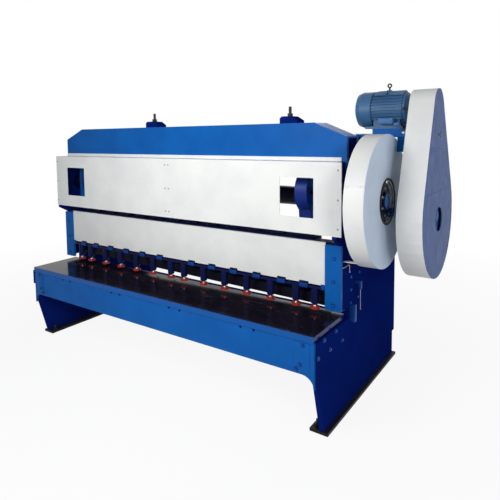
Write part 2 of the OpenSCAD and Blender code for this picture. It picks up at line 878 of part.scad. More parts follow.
module round_guard_face() {
    color("#b0bfd6") difference() {
        turned_x(crank_set, crank_z, [
            [drum_hole_r, drum_x1 - sheet_t], [drum_r, drum_x1 - sheet_t],
            [drum_r, drum_x1], [drum_hole_r, drum_x1]]);
        bar_x(drum_x1 - sheet_t - over, drum_x1 + over, fly_set, fly_z, fly_shaft_r + shaft_room);
    }
}

module round_guard_straps() {
    reach = drum_r - drum_edge / 2;
    color("#e8e8ec") for (a = [70, 20, 305, 255])
        translate([frame_half, back(crank_set) + reach * cos(a) - strap_w / 2,
                crank_z + reach * sin(a) - strap_t / 2])
            cube([drum_gap, strap_w, strap_t]);
}

module clutch_hub() {
    x = clutch_x0;
    color("#8c8f96") turned_x(crank_set, crank_z, [
        [0, x], [clutch_r, x], [clutch_r, x + clutch_step * 0.8], [clutch_r * 0.73, x + clutch_step],
        [clutch_r / 2, x + clutch_step], [clutch_r / 2, x + clutch_len], [0, x + clutch_len]]);
}

// Belt guard, flywheel and pulley

module belt_guard_outline(less = 0) {
    teardrop(belt_big_r - less, belt_small_r - less, belt_lean, belt_top_drop);
}

// A teardrop of two radii from the flywheel's shaft up to a place forward of and below the motor's
module teardrop(r0, r1, forward = 0, drop = 0) {
    rise = norm([forward, motor_z - drop - fly_z]);
    lean = asin((r0 - r1) / rise);
    big_step = (180 + 2 * lean) / arc_steps;
    small_step = (180 - 2 * lean) / arc_steps;
    translate([fly_set, fly_z]) rotate(asin(forward / rise)) polygon([
        for (i = [0:arc_steps]) let (a = 180 - lean + i * big_step) r0 * [cos(a), sin(a)],
        for (i = [0:arc_steps]) let (a = lean + i * small_step) [0, rise] + r1 * [cos(a), sin(a)]]);
}

module belt_guard_rim() {
    color("#eeeef2") along_x(belt_x0 + sheet_t, belt_x1 - sheet_t) difference() {
        belt_guard_outline();
        belt_guard_outline(sheet_t);
    }
}

module belt_guard_face() {
    color("#6f78a8") along_x(belt_x1 - sheet_t, belt_x1) difference() {
        belt_guard_outline();
        translate([fly_set, fly_z - belt_hole_drop]) circle(belt_hole_r);
    }
}

module belt_guard_back() {
    color("#eeeef2") along_x(belt_x0, belt_x0 + sheet_t) difference() {
        belt_guard_outline();
        translate([fly_set, fly_z]) circle(fly_shaft_r + shaft_room);
        translate([fly_set, motor_z]) circle(motor_shaft_r + shaft_room);
    }
}

module belt_guard_posts() {
    color("#0f2f80") for (z = [fly_z - post_down, fly_z + post_up])
        bar_x(frame_half, belt_x0, fly_set + post_back, z, post_r);
}

module flywheel() {
    x0 = fly_x0;
    x1 = fly_x0 + fly_w;
    mid = (x0 + x1) / 2;
    web = fly_web_t / 2;
    rim_r = fly_r - fly_rim;
    color("#1464b4") turned_x(fly_set, fly_z, [
        [0, frame_in - 20], [fly_shaft_r, frame_in - 20], [fly_shaft_r, x0 - 10], [fly_hub_r, x0 - 10],
        [fly_hub_r, mid - web], [rim_r, mid - web], [rim_r, x0], [fly_r, x0], [fly_r, x1], [rim_r, x1],
        [rim_r, mid + web], [fly_hub_r, mid + web], [fly_hub_r, x1 + 10], [fly_shaft_r, x1 + 10],
        [fly_shaft_r, x1 + 25], [0, x1 + 25]]);
}

module shaft_bearing() {
    x = frame_half;
    color("#0f2f80") turned_x(fly_set, fly_z, [
        [fly_shaft_r + fit_gap, x], [shaft_flange_r, x], [shaft_flange_r, x + shaft_bearing_len / 4],
        [shaft_hub_r * 1.06, x + shaft_bearing_len / 3], [shaft_hub_r, x + shaft_bearing_len],
        [fly_shaft_r + fit_gap, x + shaft_bearing_len]]);
}

module motor_pulley() {
    color("#3a3d45") turned_x(fly_set, motor_z, [
        [0, shield_x1 - 20], [motor_shaft_r, shield_x1 - 20], [motor_shaft_r, fly_x0], [pulley_r, fly_x0],
        [pulley_r, fly_x0 + fly_w], [0, fly_x0 + fly_w]]);
}

module drive_belts() {
    color("#1a1a1c") along_x(fly_x0 + 10, fly_x0 + fly_w - 10) difference() {
        teardrop(fly_r + fit_gap + belt_t, pulley_r + fit_gap + belt_t);
        teardrop((fly_r + fit_gap) * outer_share, (pulley_r + fit_gap) * outer_share);
    }
}

// Motor

module motor_body() {
    pitch = 2 * (motor_r - fin_h) / fin_count;
    color("#4f7299") union() {
        along_x(cowl_x1, body_x1) translate([fly_set, motor_z]) intersection() {
            circle(motor_r);
            union() {
                circle(motor_r - fin_h);
                for (i = [-fin_count / 2:1:fin_count / 2])
                    translate([-motor_r, i * pitch - fin_t / 2]) square([2 * motor_r, fin_t]);
                for (i = [-2.5:1:2.5]) translate([i * pitch - fin_t / 2, -motor_r]) square([fin_t, 2 * motor_r]);
            }
        }
        translate([eye_x, back(fly_set), motor_z]) cylinder(h = motor_r + boss_h, r = boss_r);
        for (s = [-1, 1]) {
            d = fly_set + s * motor_foot_set;
            foot_top = base_z + motor_foot_t;
            block([cowl_x1 - motor_foot_back, body_x1 - 10], [d - motor_foot_half, d + motor_foot_half],
                [base_z, foot_top]);
            block([cowl_x1 + 20, body_x1 - 20], [d - motor_foot_half / 3, d + motor_foot_half / 3],
                [foot_top, motor_z - motor_r / 2]);
        }
    }
}

module fan_cowl() {
    color("#4f7299") turned_x(fly_set, motor_z, [
        [0, motor_x0], [motor_r * 0.72, motor_x0], [motor_r * 0.92, motor_x0 + cowl_len * 0.09],
        [motor_r, motor_x0 + cowl_len / 3],
        [motor_r, cowl_x1], [0, cowl_x1]]);
}

module end_shield() {
    outer = motor_r - shield_less;
    color("#4f7299") turned_x(fly_set, motor_z, [
        [motor_shaft_r + fit_gap, body_x1], [outer, body_x1], [outer, body_x1 + shield_len / 3],
        [outer * 0.78, body_x1 + shield_len * 0.7], [outer / 2, shield_x1], [motor_shaft_r + fit_gap, shield_x1]]);
}

module terminal_box() {
    color("#6b7f98") difference() {
        block([cowl_x1 + box_in + box_right, body_x1 - box_in + box_right],
            [fly_set - motor_r - box_out, fly_set - motor_foot_set - motor_foot_half / 3],
            [motor_z - box_drop - box_h, motor_z - box_drop]);
        bar_x(cowl_x1, body_x1, fly_set, motor_z, motor_r);
    }
}

module lifting_eye() {
    color("#30343c") translate([eye_x, back(fly_set), motor_z + motor_r]) {
        translate([0, 0, boss_h]) cylinder(h = eye_h - boss_h - eye_r, r = eye_wire_r * 1.2);
        translate([0, 0, eye_h]) rotate([90, 0, 0]) rotate_extrude() translate([eye_r, 0]) circle(eye_wire_r);
    }
}

module motor_base() {
    color("#123f8c") block([frame_half + base_in, body_x1 + 5], [fly_set - base_half, fly_set + base_half],
        [shelf_z + shelf_t, base_z]);
}

module motor_shelf() {
    color("#123f8c") union() {
        block([frame_in, shelf_x1], [fly_set - base_half, shelf_end], [shelf_z, shelf_z + shelf_t]);
        block([shelf_x1 - column_w, shelf_x1], [fly_set - column_in - column_d, fly_set - column_in],
            [shelf_z - column_h, shelf_z]);
    }
}

module side_bracket() {
    x = -frame_half;
    color("#2a3560") union() {
        block([x - bracket_out, x], [bracket_set, bracket_set + bracket_d], [under_z - bracket_h, under_z]);
        for (z = [under_z - bracket_h + bracket_bolt_end, under_z - bracket_bolt_end])
            bar_x(x - bracket_out - bracket_bolt_r * 1.6, x - bracket_out,
                bracket_set + bracket_d / 2, z, bracket_bolt_r);
    }
}

left_side_frame();
right_side_frame();
left_foot_plate();
right_foot_plate();
table_top();
apron();
bed_beam();
rear_tie();
lower_blade();
crown_front_plate();
crown_back_plate();
crown_top_plate();
left_bearing_web();
right_bearing_web();
left_cover();
right_cover();
cover_top_strip();
lower_panel();
left_front_strip();
right_front_strip();
hold_down_beam();
hold_down_cylinders();
hold_down_rods();
hold_down_pads();
ram_beam();
ram_guides();
upper_blade();
crankshaft();
left_pitman();
right_pitman();
left_bearing();
right_bearing();
balance_blocks();
balance_studs();
round_guard_rim();
round_guard_face();
round_guard_straps();
clutch_hub();
belt_guard_rim();
belt_guard_face();
belt_guard_back();
belt_guard_posts();
flywheel();
shaft_bearing();
motor_pulley();
drive_belts();
motor_body();
fan_cowl();
end_shield();
terminal_box();
lifting_eye();
motor_base();
motor_shelf();
side_bracket();
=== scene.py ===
"""Dresses the packed mechanical shear and sets it in a plain studio.

Every CAD node gets the finish of the real part, and the fasteners, trims and
wear that the CAD leaves out are modelled here. Lengths named in millimetres
are turned to the frame's metres by place().
"""

import json
import logging
import math
from collections.abc import Callable, Iterable
from dataclasses import dataclass, field
from enum import Enum

import bmesh
import bpy
from bpy.types import Material, Node, NodeSocket, NodeTree, Object
from mathutils import Matrix, Vector


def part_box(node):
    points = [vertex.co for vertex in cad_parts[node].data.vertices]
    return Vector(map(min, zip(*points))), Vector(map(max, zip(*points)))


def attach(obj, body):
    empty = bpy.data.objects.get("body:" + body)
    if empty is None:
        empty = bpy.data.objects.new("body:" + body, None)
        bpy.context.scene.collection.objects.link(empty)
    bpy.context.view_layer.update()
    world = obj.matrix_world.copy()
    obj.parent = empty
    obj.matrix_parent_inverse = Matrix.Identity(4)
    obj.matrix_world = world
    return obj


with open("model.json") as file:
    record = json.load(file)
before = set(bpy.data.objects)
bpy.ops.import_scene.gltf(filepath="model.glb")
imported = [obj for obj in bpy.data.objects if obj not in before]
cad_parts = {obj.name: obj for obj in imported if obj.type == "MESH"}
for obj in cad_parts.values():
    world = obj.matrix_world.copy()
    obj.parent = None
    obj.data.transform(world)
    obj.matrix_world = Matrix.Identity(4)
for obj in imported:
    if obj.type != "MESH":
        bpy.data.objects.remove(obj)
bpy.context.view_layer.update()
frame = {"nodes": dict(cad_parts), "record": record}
MM = 0.001
# The sockets of a Mix node that hold the colour below, the colour on top and the result
MIX_BASE, MIX_TOP, MIX_RESULT = 6, 7, 2
LOG = logging.getLogger("shear")


class Body(Enum):
    """The CAD bodies that a piece can ride on."""

    MACHINE = "machine"
    RAM = "ram"
    HOLD_DOWNS = "hold_downs"
    FLYWHEEL = "flywheel"
    PULLEY = "motor_pulley"


class Facing(Enum):
    """The way that a fastener's head points."""

    UP = (0.0, 0.0, 1.0)
    DOWN = (0.0, 0.0, -1.0)
    FRONT = (0.0, -1.0, 0.0)
    REAR = (0.0, 1.0, 0.0)
    LEFT = (-1.0, 0.0, 0.0)
    RIGHT = (1.0, 0.0, 0.0)

    def turn(self) -> Matrix:
        """Returns the rotation that turns +Z to this direction."""
        return Vector(self.value).to_track_quat("Z", "Y").to_matrix().to_4x4()


def looks(facing: Facing, within: Callable[[Vector], bool] | None = None) -> Callable[[Vector, Vector], bool]:
    """Makes a test for the faces of a piece that look one way.

    Args:
        facing: The way that they look.
        within: Says from a face's centre whether it counts; all count without it.

    Returns:
        A test of a face's centre and normal.
    """
    way = Vector(facing.value)
    return lambda centre, normal: normal.dot(way) > 0.9 and (within is None or within(centre))


def place(x: float, setback: float, z: float) -> Vector:
    """Turns a place on the machine into the frame's metres.

    Args:
        x: Millimetres along the table from its middle.
        setback: Millimetres back from the table's front edge.
        z: Millimetres above the floor.

    Returns:
        The point in metres.
    """
    return Vector((x * MM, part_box("table_top")[0].y + setback * MM, z * MM))


def around(centre: tuple, radius: float, first: float, step: float, count: int) -> tuple:
    """Lists places on an upright circle that faces along X.

    Args:
        centre: Its middle as x, setback and z, in millimetres.
        radius: In millimetres.
        first: The first place, in degrees above the rearward direction.
        step: The degrees from each place to the next.
        count: How many places there are.

    Returns:
        The places, as x, setback and z in millimetres.
    """
    x, setback, z = centre
    angles = [math.radians(first + step * turn) for turn in range(count)]
    return tuple((x, setback + radius * math.cos(a), z + radius * math.sin(a)) for a in angles)


def both_sides(near: float, far: float) -> tuple:
    """Returns the right one and the left one of two mirrored spans of x."""
    return (near, far), (-far, -near)


def linear(colour: str) -> tuple[float, float, float, float]:
    """Turns an sRGB hex colour into linear RGBA.

    Args:
        colour: Six hex digits after a hash.

    Returns:
        The linear colour with full opacity.
    """
    parts = [int(colour[i:i + 2], 16) / 255 for i in (1, 3, 5)]
    red, green, blue = [p / 12.92 if p <= 0.04045 else ((p + 0.055) / 1.055) ** 2.4 for p in parts]
    return red, green, blue, 1.0


def add_node(tree: NodeTree, kind: str, settings: dict | None = None, links: dict | None = None) -> Node:
    """Adds one node to a tree.

    Args:
        tree: The tree that gets the node.
        kind: The node's type.
        settings: Attributes of the node, or default values of its inputs.
        links: Sockets to join to its inputs.

    Returns:
        The new node.
    """
    node = tree.nodes.new(kind)
    for key, value in (settings or {}).items():
        if isinstance(key, str) and hasattr(node, key):
            setattr(node, key, value)
        else:
            node.inputs[key].default_value = value
    for key, socket in (links or {}).items():
        tree.links.new(socket, node.inputs[key])
    return node


@dataclass(frozen=True)
class Finish:
    """A finish on the machine, from its real material to its nodes.

    A pattern's size is the width in millimetres of one patch or grain. The
    grain is drawn a few times coarser than the real one, so that it shows.
    A span is the range of the noise over which something sets in. Each tone is an axis, a side of it
    and the colour of the faces that look that way: paint on the table, painted light on the pitmans and
    crank.
    """

    name: str
    slot: str
    colour: str
    shade: str
    roughness: float
    spread: float = 0.06
    patch_mm: float = 260.0
    grain_mm: float = 3.0
    depth_mm: float = 0.05
    edge_mm: float = 2.0
    metallic: float = 0.0
    ior: float = 1.5
    specular: float = 0.5
    tones: tuple = ()
    patch_span: tuple = (0.38, 0.66)
    haze_span: tuple = (0.3, 0.7)
    tone_span: tuple = (0.7, 0.85)
    bump: float = 0.6

    def material(self) -> Material:
        """Returns the finish's material, made the first time it is asked for."""
        made = bpy.data.materials.get(self.name)
        if made is None:
            made = bpy.data.materials.new(self.name)
            made.use_nodes = True
            made.node_tree.nodes.clear()
            self.lay(made.node_tree)
        return made

    def stretch(self) -> tuple[float, float, float]:
        """Returns how much the grain is packed along each axis."""
        return 1.0, 1.0, 1.0

    def colouring(self, tree: NodeTree, point: NodeSocket, edge: NodeSocket) -> NodeSocket:
        """Lays the colour and its slow patches.

        Args:
            tree: The material's tree.
            point: The object coordinates.
            edge: The rounded normal, which differs from the true one at edges; not used here.

        Returns:
            The socket that gives the colour.
        """
        patches = add_node(tree, "ShaderNodeTexNoise", {"Scale": 1 / (self.patch_mm * MM), "Detail": 5.0},
                           {"Vector": point})
        low, high = self.patch_span
        share = add_node(tree, "ShaderNodeMapRange", {"From Min": low, "From Max": high},
                         {"Value": patches.outputs["Fac"]})
        mix = add_node(tree, "ShaderNodeMix",
                       {"data_type": "RGBA", MIX_BASE: linear(self.colour), MIX_TOP: linear(self.shade)},
                       {"Factor": share.outputs["Result"]})
        return mix.outputs[MIX_RESULT]

    def toned(self, tree: NodeTree, base: NodeSocket) -> NodeSocket:
        """Paints the faces that look along the finish's tones.

        Args:
            tree: The material's tree.
            base: The colour of all other faces.

        Returns:
            The socket that gives the colour.
        """
        if not self.tones:
            return base
        true_normal = add_node(tree, "ShaderNodeNewGeometry").outputs["Normal"]
        parts = add_node(tree, "ShaderNodeSeparateXYZ", {}, {0: true_normal})
        low, high = self.tone_span
        for axis, side, paint in self.tones:
            share = add_node(tree, "ShaderNodeMapRange", {"From Min": low * side, "From Max": high * side},
                             {"Value": parts.outputs[axis]})
            mix = add_node(tree, "ShaderNodeMix", {"data_type": "RGBA", MIX_TOP: linear(paint)},
                           {"Factor": share.outputs["Result"], MIX_BASE: base})
            base = mix.outputs[MIX_RESULT]
        return base

    def lay(self, tree: NodeTree) -> None:
        """Builds the whole shader.

        Args:
            tree: The material's empty tree.
        """
        point = add_node(tree, "ShaderNodeTexCoord").outputs["Object"]
        rounded = add_node(tree, "ShaderNodeBevel", {"samples": 4, "Radius": self.edge_mm * MM})
        packed = add_node(tree, "ShaderNodeMapping", {"Scale": self.stretch()}, {"Vector": point})
        grain = add_node(tree, "ShaderNodeTexNoise", {"Scale": 1 / (self.grain_mm * MM), "Detail": 2.0},
                         {"Vector": packed.outputs["Vector"]})
        bump = add_node(tree, "ShaderNodeBump", {"Strength": self.bump, "Distance": self.depth_mm * MM},
                        {"Height": grain.outputs["Fac"], "Normal": rounded.outputs["Normal"]})
        haze = add_node(tree, "ShaderNodeTexNoise", {"Scale": 3 / (self.patch_mm * MM), "Detail": 4.0},
                        {"Vector": packed.outputs["Vector"]})
        low, high = self.haze_span
        rough = add_node(tree, "ShaderNodeMapRange",
                         {"From Min": low, "From Max": high, "To Min": self.roughness - self.spread,
                          "To Max": self.roughness + self.spread}, {"Value": haze.outputs["Fac"]})
        colour = self.toned(tree, self.colouring(tree, point, rounded.outputs["Normal"]))
        shader = add_node(tree, "ShaderNodeBsdfPrincipled",
                          {"Metallic": self.metallic, "IOR": self.ior, "Specular IOR Level": self.specular},
                          {"Base Color": colour, "Roughness": rough.outputs["Result"],
                           "Normal": bump.outputs["Normal"]})
        add_node(tree, "ShaderNodeOutputMaterial", {}, {"Surface": shader.outputs["BSDF"]})


@dataclass(frozen=True)
class SprayedEnamel(Finish):
    """Alkyd enamel sprayed on steel plate: a faint orange peel, and edges rubbed darker by handling."""

    worn: str = "#20242e"
    wear: float = 0.55
    chip_mm: float = 14.0
    chip_span: tuple = (0.5, 0.62)
    edge_span: tuple = (0.995, 0.8)

    def colouring(self, tree: NodeTree, point: NodeSocket, edge: NodeSocket) -> NodeSocket:
        """Adds the rubbed edges to the patches.

        Args:
            tree: The material's tree.
            point: The object coordinates.
            edge: The rounded normal.

        Returns:
            The socket that gives the colour.
        """
        base = super().colouring(tree, point, edge)
        true_normal = add_node(tree, "ShaderNodeNewGeometry").outputs["Normal"]
        cosine = add_node(tree, "ShaderNodeVectorMath", {"operation": "DOT_PRODUCT"},
                          {0: edge, 1: true_normal})
        low, high = self.edge_span
        rubbed = add_node(tree, "ShaderNodeMapRange", {"From Min": low, "From Max": high},
                          {"Value": cosine.outputs["Value"]})
        chips = add_node(tree, "ShaderNodeTexNoise",
                         {"Scale": 1 / (self.chip_mm * MM), "Detail": 6.0, "Roughness": 0.7},
                         {"Vector": point})
        low, high = self.chip_span
        chosen = add_node(tree, "ShaderNodeMapRange",
                          {"From Min": low, "From Max": high, "To Max": self.wear},
                          {"Value": chips.outputs["Fac"]})
        share = add_node(tree, "ShaderNodeMath", {"operation": "MULTIPLY"},
                         {0: rubbed.outputs["Result"], 1: chosen.outputs["Result"]})
        mix = add_node(tree, "ShaderNodeMix", {"data_type": "RGBA", MIX_TOP: linear(self.worn)},
                       {"Factor": share.outputs["Value"], MIX_BASE: base})
        return mix.outputs[MIX_RESULT]


@dataclass(frozen=True)
class GroundSteel(Finish):
    """Plate ground along its length: fine lines along X that sharpen or dull the gloss."""

    line_ratio: float = 40.0

    def stretch(self) -> tuple[float, float, float]:
        """Returns the packing of the lines, which run along X."""
        return 1 / self.line_ratio, 1.0, 1.0


@dataclass(frozen=True)
class OiledTable(GroundSteel):
    """The table's steel, dark with oil and polished by sheets, with scratches across it."""

    scratch: str = "#6a6a78"
    scratches: tuple = ((0.35, 5.0), (-0.9, 4.0), (1.35, 6.0))
    scratch_span: tuple = (0.73, 0.78)
    scratch_share: float = 0.8

    def colouring(self, tree: NodeTree, point: NodeSocket, edge: NodeSocket) -> NodeSocket:
        """Adds scratches in three directions to the patches.

        Args:
            tree: The material's tree.
            point: The object coordinates.
            edge: The rounded normal.

        Returns:
            The socket that gives the colour.
        """
        base = super().colouring(tree, point, edge)
        low, high = self.scratch_span
        for angle, width_mm in self.scratches:
            turned = add_node(tree, "ShaderNodeMapping",
                              {"Rotation": (0.0, 0.0, angle), "Scale": (0.02, 1.0, 1.0)}, {"Vector": point})
            lines = add_node(tree, "ShaderNodeTexNoise", {"Scale": 1 / (width_mm * MM), "Detail": 1.0},
                             {"Vector": turned.outputs["Vector"]})
            sharp = add_node(tree, "ShaderNodeMapRange",
                             {"From Min": low, "From Max": high, "To Max": self.scratch_share},
                             {"Value": lines.outputs["Fac"]})
            mix = add_node(tree, "ShaderNodeMix", {"data_type": "RGBA", MIX_TOP: linear(self.scratch)},
                           {"Factor": sharp.outputs["Result"], MIX_BASE: base})
            base = mix.outputs[MIX_RESULT]
        return base


@dataclass(frozen=True)
class TurnedSteel(Finish):
    """Steel turned on a lathe: rings round the X axis that catch the light."""

    ring_ratio: float = 30.0

    def stretch(self) -> tuple[float, float, float]:
        """Returns the packing of the rings, which lie side by side along X."""
        return 1.0, 1 / self.ring_ratio, 1 / self.ring_ratio


@dataclass(frozen=True)
class Palette:
    """All the finishes, named for what the real ones are; some of them also paint light and shade."""

    # Bright blue alkyd enamel on plate: clean semi-gloss with soft orange peel
    blue: Finish = SprayedEnamel("blue_enamel", "blue_paint", "#1060b0", "#0d58a6", 0.45, specular=0.08)
    # The same paint range in navy, on the frames and in the mechanism
    navy: Finish = SprayedEnamel("navy_enamel", "navy_paint", "#0c2272", "#0b1f6a", 0.55, specular=0.0,
                                 worn="#101a3c")
    # Black-blue enamel on the foot plates, dulled by dust
    dark: Finish = SprayedEnamel("foot_enamel", "dark_paint", "#12121c", "#1b1b26", 0.55, wear=0.2,
                                 specular=0.15)
    # Navy enamel made darker for the throat of the machine: painted shade, for the shade that falls there
    shaded_navy: Finish = SprayedEnamel("shaded_navy_enamel", "navy_paint", "#0b1547", "#091140", 0.4,
                                      specular=0.12)
    # The bright blue made darker: painted shade, for the lugs, bolts and small fittings that sit in shade
    shaded_blue: Finish = SprayedEnamel("shaded_blue_enamel", "navy_paint", "#0e4896", "#0b3a80", 0.42,
                                      specular=0.15)
    # The pitmans: navy round their rims; their faces along X are painted bright blue as painted light, for
    # the light that falls on them
    pitman: Finish = SprayedEnamel("pitman_enamel", "navy_paint", "#1a3488", "#142a74", 0.42, specular=0.15,
                                   tones=(("X", 1, "#1470cc"), ("X", -1, "#1470cc")))
    # Off-white enamel on sheet covers: smooth, a little dusty
    white: Finish = SprayedEnamel("white_enamel", "white_paint", "#ededea", "#e4e5e4", 0.42, specular=0.3,
                                  worn="#9a9ca2", wear=0.35, edge_mm=1.2)
    # Pale blue-grey enamel on the round guard's face
    guard: Finish = SprayedEnamel("guard_enamel", "guard_paint", "#d2e0f2", "#c8d7ea", 0.45, specular=0.3,
                                  worn="#77809a", wear=0.3, edge_mm=1.2)
    # Grey-violet on the belt guard's face: painted shade, for the shade on the white guard's side
    belt_guard: Finish = SprayedEnamel("belt_guard_shaded_enamel", "belt_guard_paint", "#4a639a", "#41598c", 0.5,
                                       specular=0.12, worn="#4c5270", wear=0.3, edge_mm=1.2)
    # Thick steel plate, ground, oiled and polished by use: nearly black, with a sharp dim mirror image
    table: Finish = OiledTable("oiled_table_steel", "table_steel", "#15121d", "#1d1925", 0.13, spread=0.04,
                               grain_mm=2.0, depth_mm=0.015, ior=1.25, specular=0.4,
                               tones=(("Y", -1, "#0e57a6"), ("X", 1, "#0a1c60"), ("X", -1, "#0a1c60")))
    # Tool steel of the blades under a film of oil, with fine lines; its dark bluish colour is painted shade
    # of the throat
    blade: Finish = GroundSteel("shaded_oiled_blade_steel", "blade_steel", "#1e1f30", "#181928", 0.38, grain_mm=1.2,
                                depth_mm=0.03, metallic=0.6, specular=0.3)
    # Turned shafting under a film of dark oil; its faces along X are painted bright blue as painted light,
    # for the light that falls on the eccentrics
    crank: Finish = TurnedSteel("oiled_shaft_steel", "crank_steel", "#16182a", "#101222", 0.4, grain_mm=1.6,
                                depth_mm=0.04, metallic=0.2, specular=0.3,
                                tones=(("X", 1, "#1a78d6"), ("X", -1, "#1a78d6")))
    # Hard chrome on the rods, polished
    chrome: Finish = Finish("hard_chrome", "rod_chrome", "#dcdee2", "#cfd2d8", 0.08, spread=0.03, patch_mm=60,
                            grain_mm=1.0, depth_mm=0.005, edge_mm=0.8, metallic=1.0)
    # Turned steel of the clutch hub, browned by oil and brighter on its rings
    hub: Finish = TurnedSteel("turned_hub_steel", "hub_steel", "#2c3040", "#222636", 0.34, grain_mm=1.6,
                              depth_mm=0.04, metallic=0.7)
    # Cast polyurethane pads, faintly matt
    pad: Finish = Finish("cast_polyurethane", "pad_red", "#b8362c", "#a02c28", 0.42, patch_mm=40,
                         grain_mm=1.5, depth_mm=0.02, edge_mm=1.5, ior=1.48, specular=0.3)
    # Blackened studs and small fittings
    black: Finish = Finish("black_oxide_steel", "stud_black", "#16161c", "#22222a", 0.42, patch_mm=30,
                           grain_mm=1.2, depth_mm=0.02, edge_mm=0.8, metallic=0.4, specular=0.3)
    # Zinc-plated screws, greyed by handling
    zinc: Finish = Finish("zinc_plated_steel", "rod_chrome", "#8f929b", "#7d808a", 0.36, patch_mm=20,
                          grain_mm=1.0, depth_mm=0.01, edge_mm=0.6, metallic=0.9)
    # Grey-blue machine enamel over cast aluminium fins
    motor: Finish = SprayedEnamel("motor_enamel", "motor_paint", "#436e98", "#3a6188", 0.44, grain_mm=2.0,
                                  specular=0.25, edge_mm=1.0, worn="#2c3c50")
    # The same enamel, a little bluer, on the terminal box
    box: Finish = SprayedEnamel("terminal_box_enamel", "box_paint", "#4276b2", "#3b6ba4", 0.44, grain_mm=2.0,
                                specular=0.25, edge_mm=1.0, worn="#3c4656")
    # Chloroprene belts with a cloth face
    rubber: Finish = Finish("belt_chloroprene", "belt_rubber", "#1a1a1c", "#232326", 0.7, patch_mm=50,
                            grain_mm=1.0, depth_mm=0.05, ior=1.52, specular=0.3)
    # Sand-cast iron, painted blue: coarser skin than the plates
    iron: Finish = SprayedEnamel("painted_cast_iron", "wheel_iron", "#1464b4", "#0f4f96", 0.5, grain_mm=5.0,
                                 specular=0.2, depth_mm=0.25, edge_mm=3.0)


PALETTE = Palette()


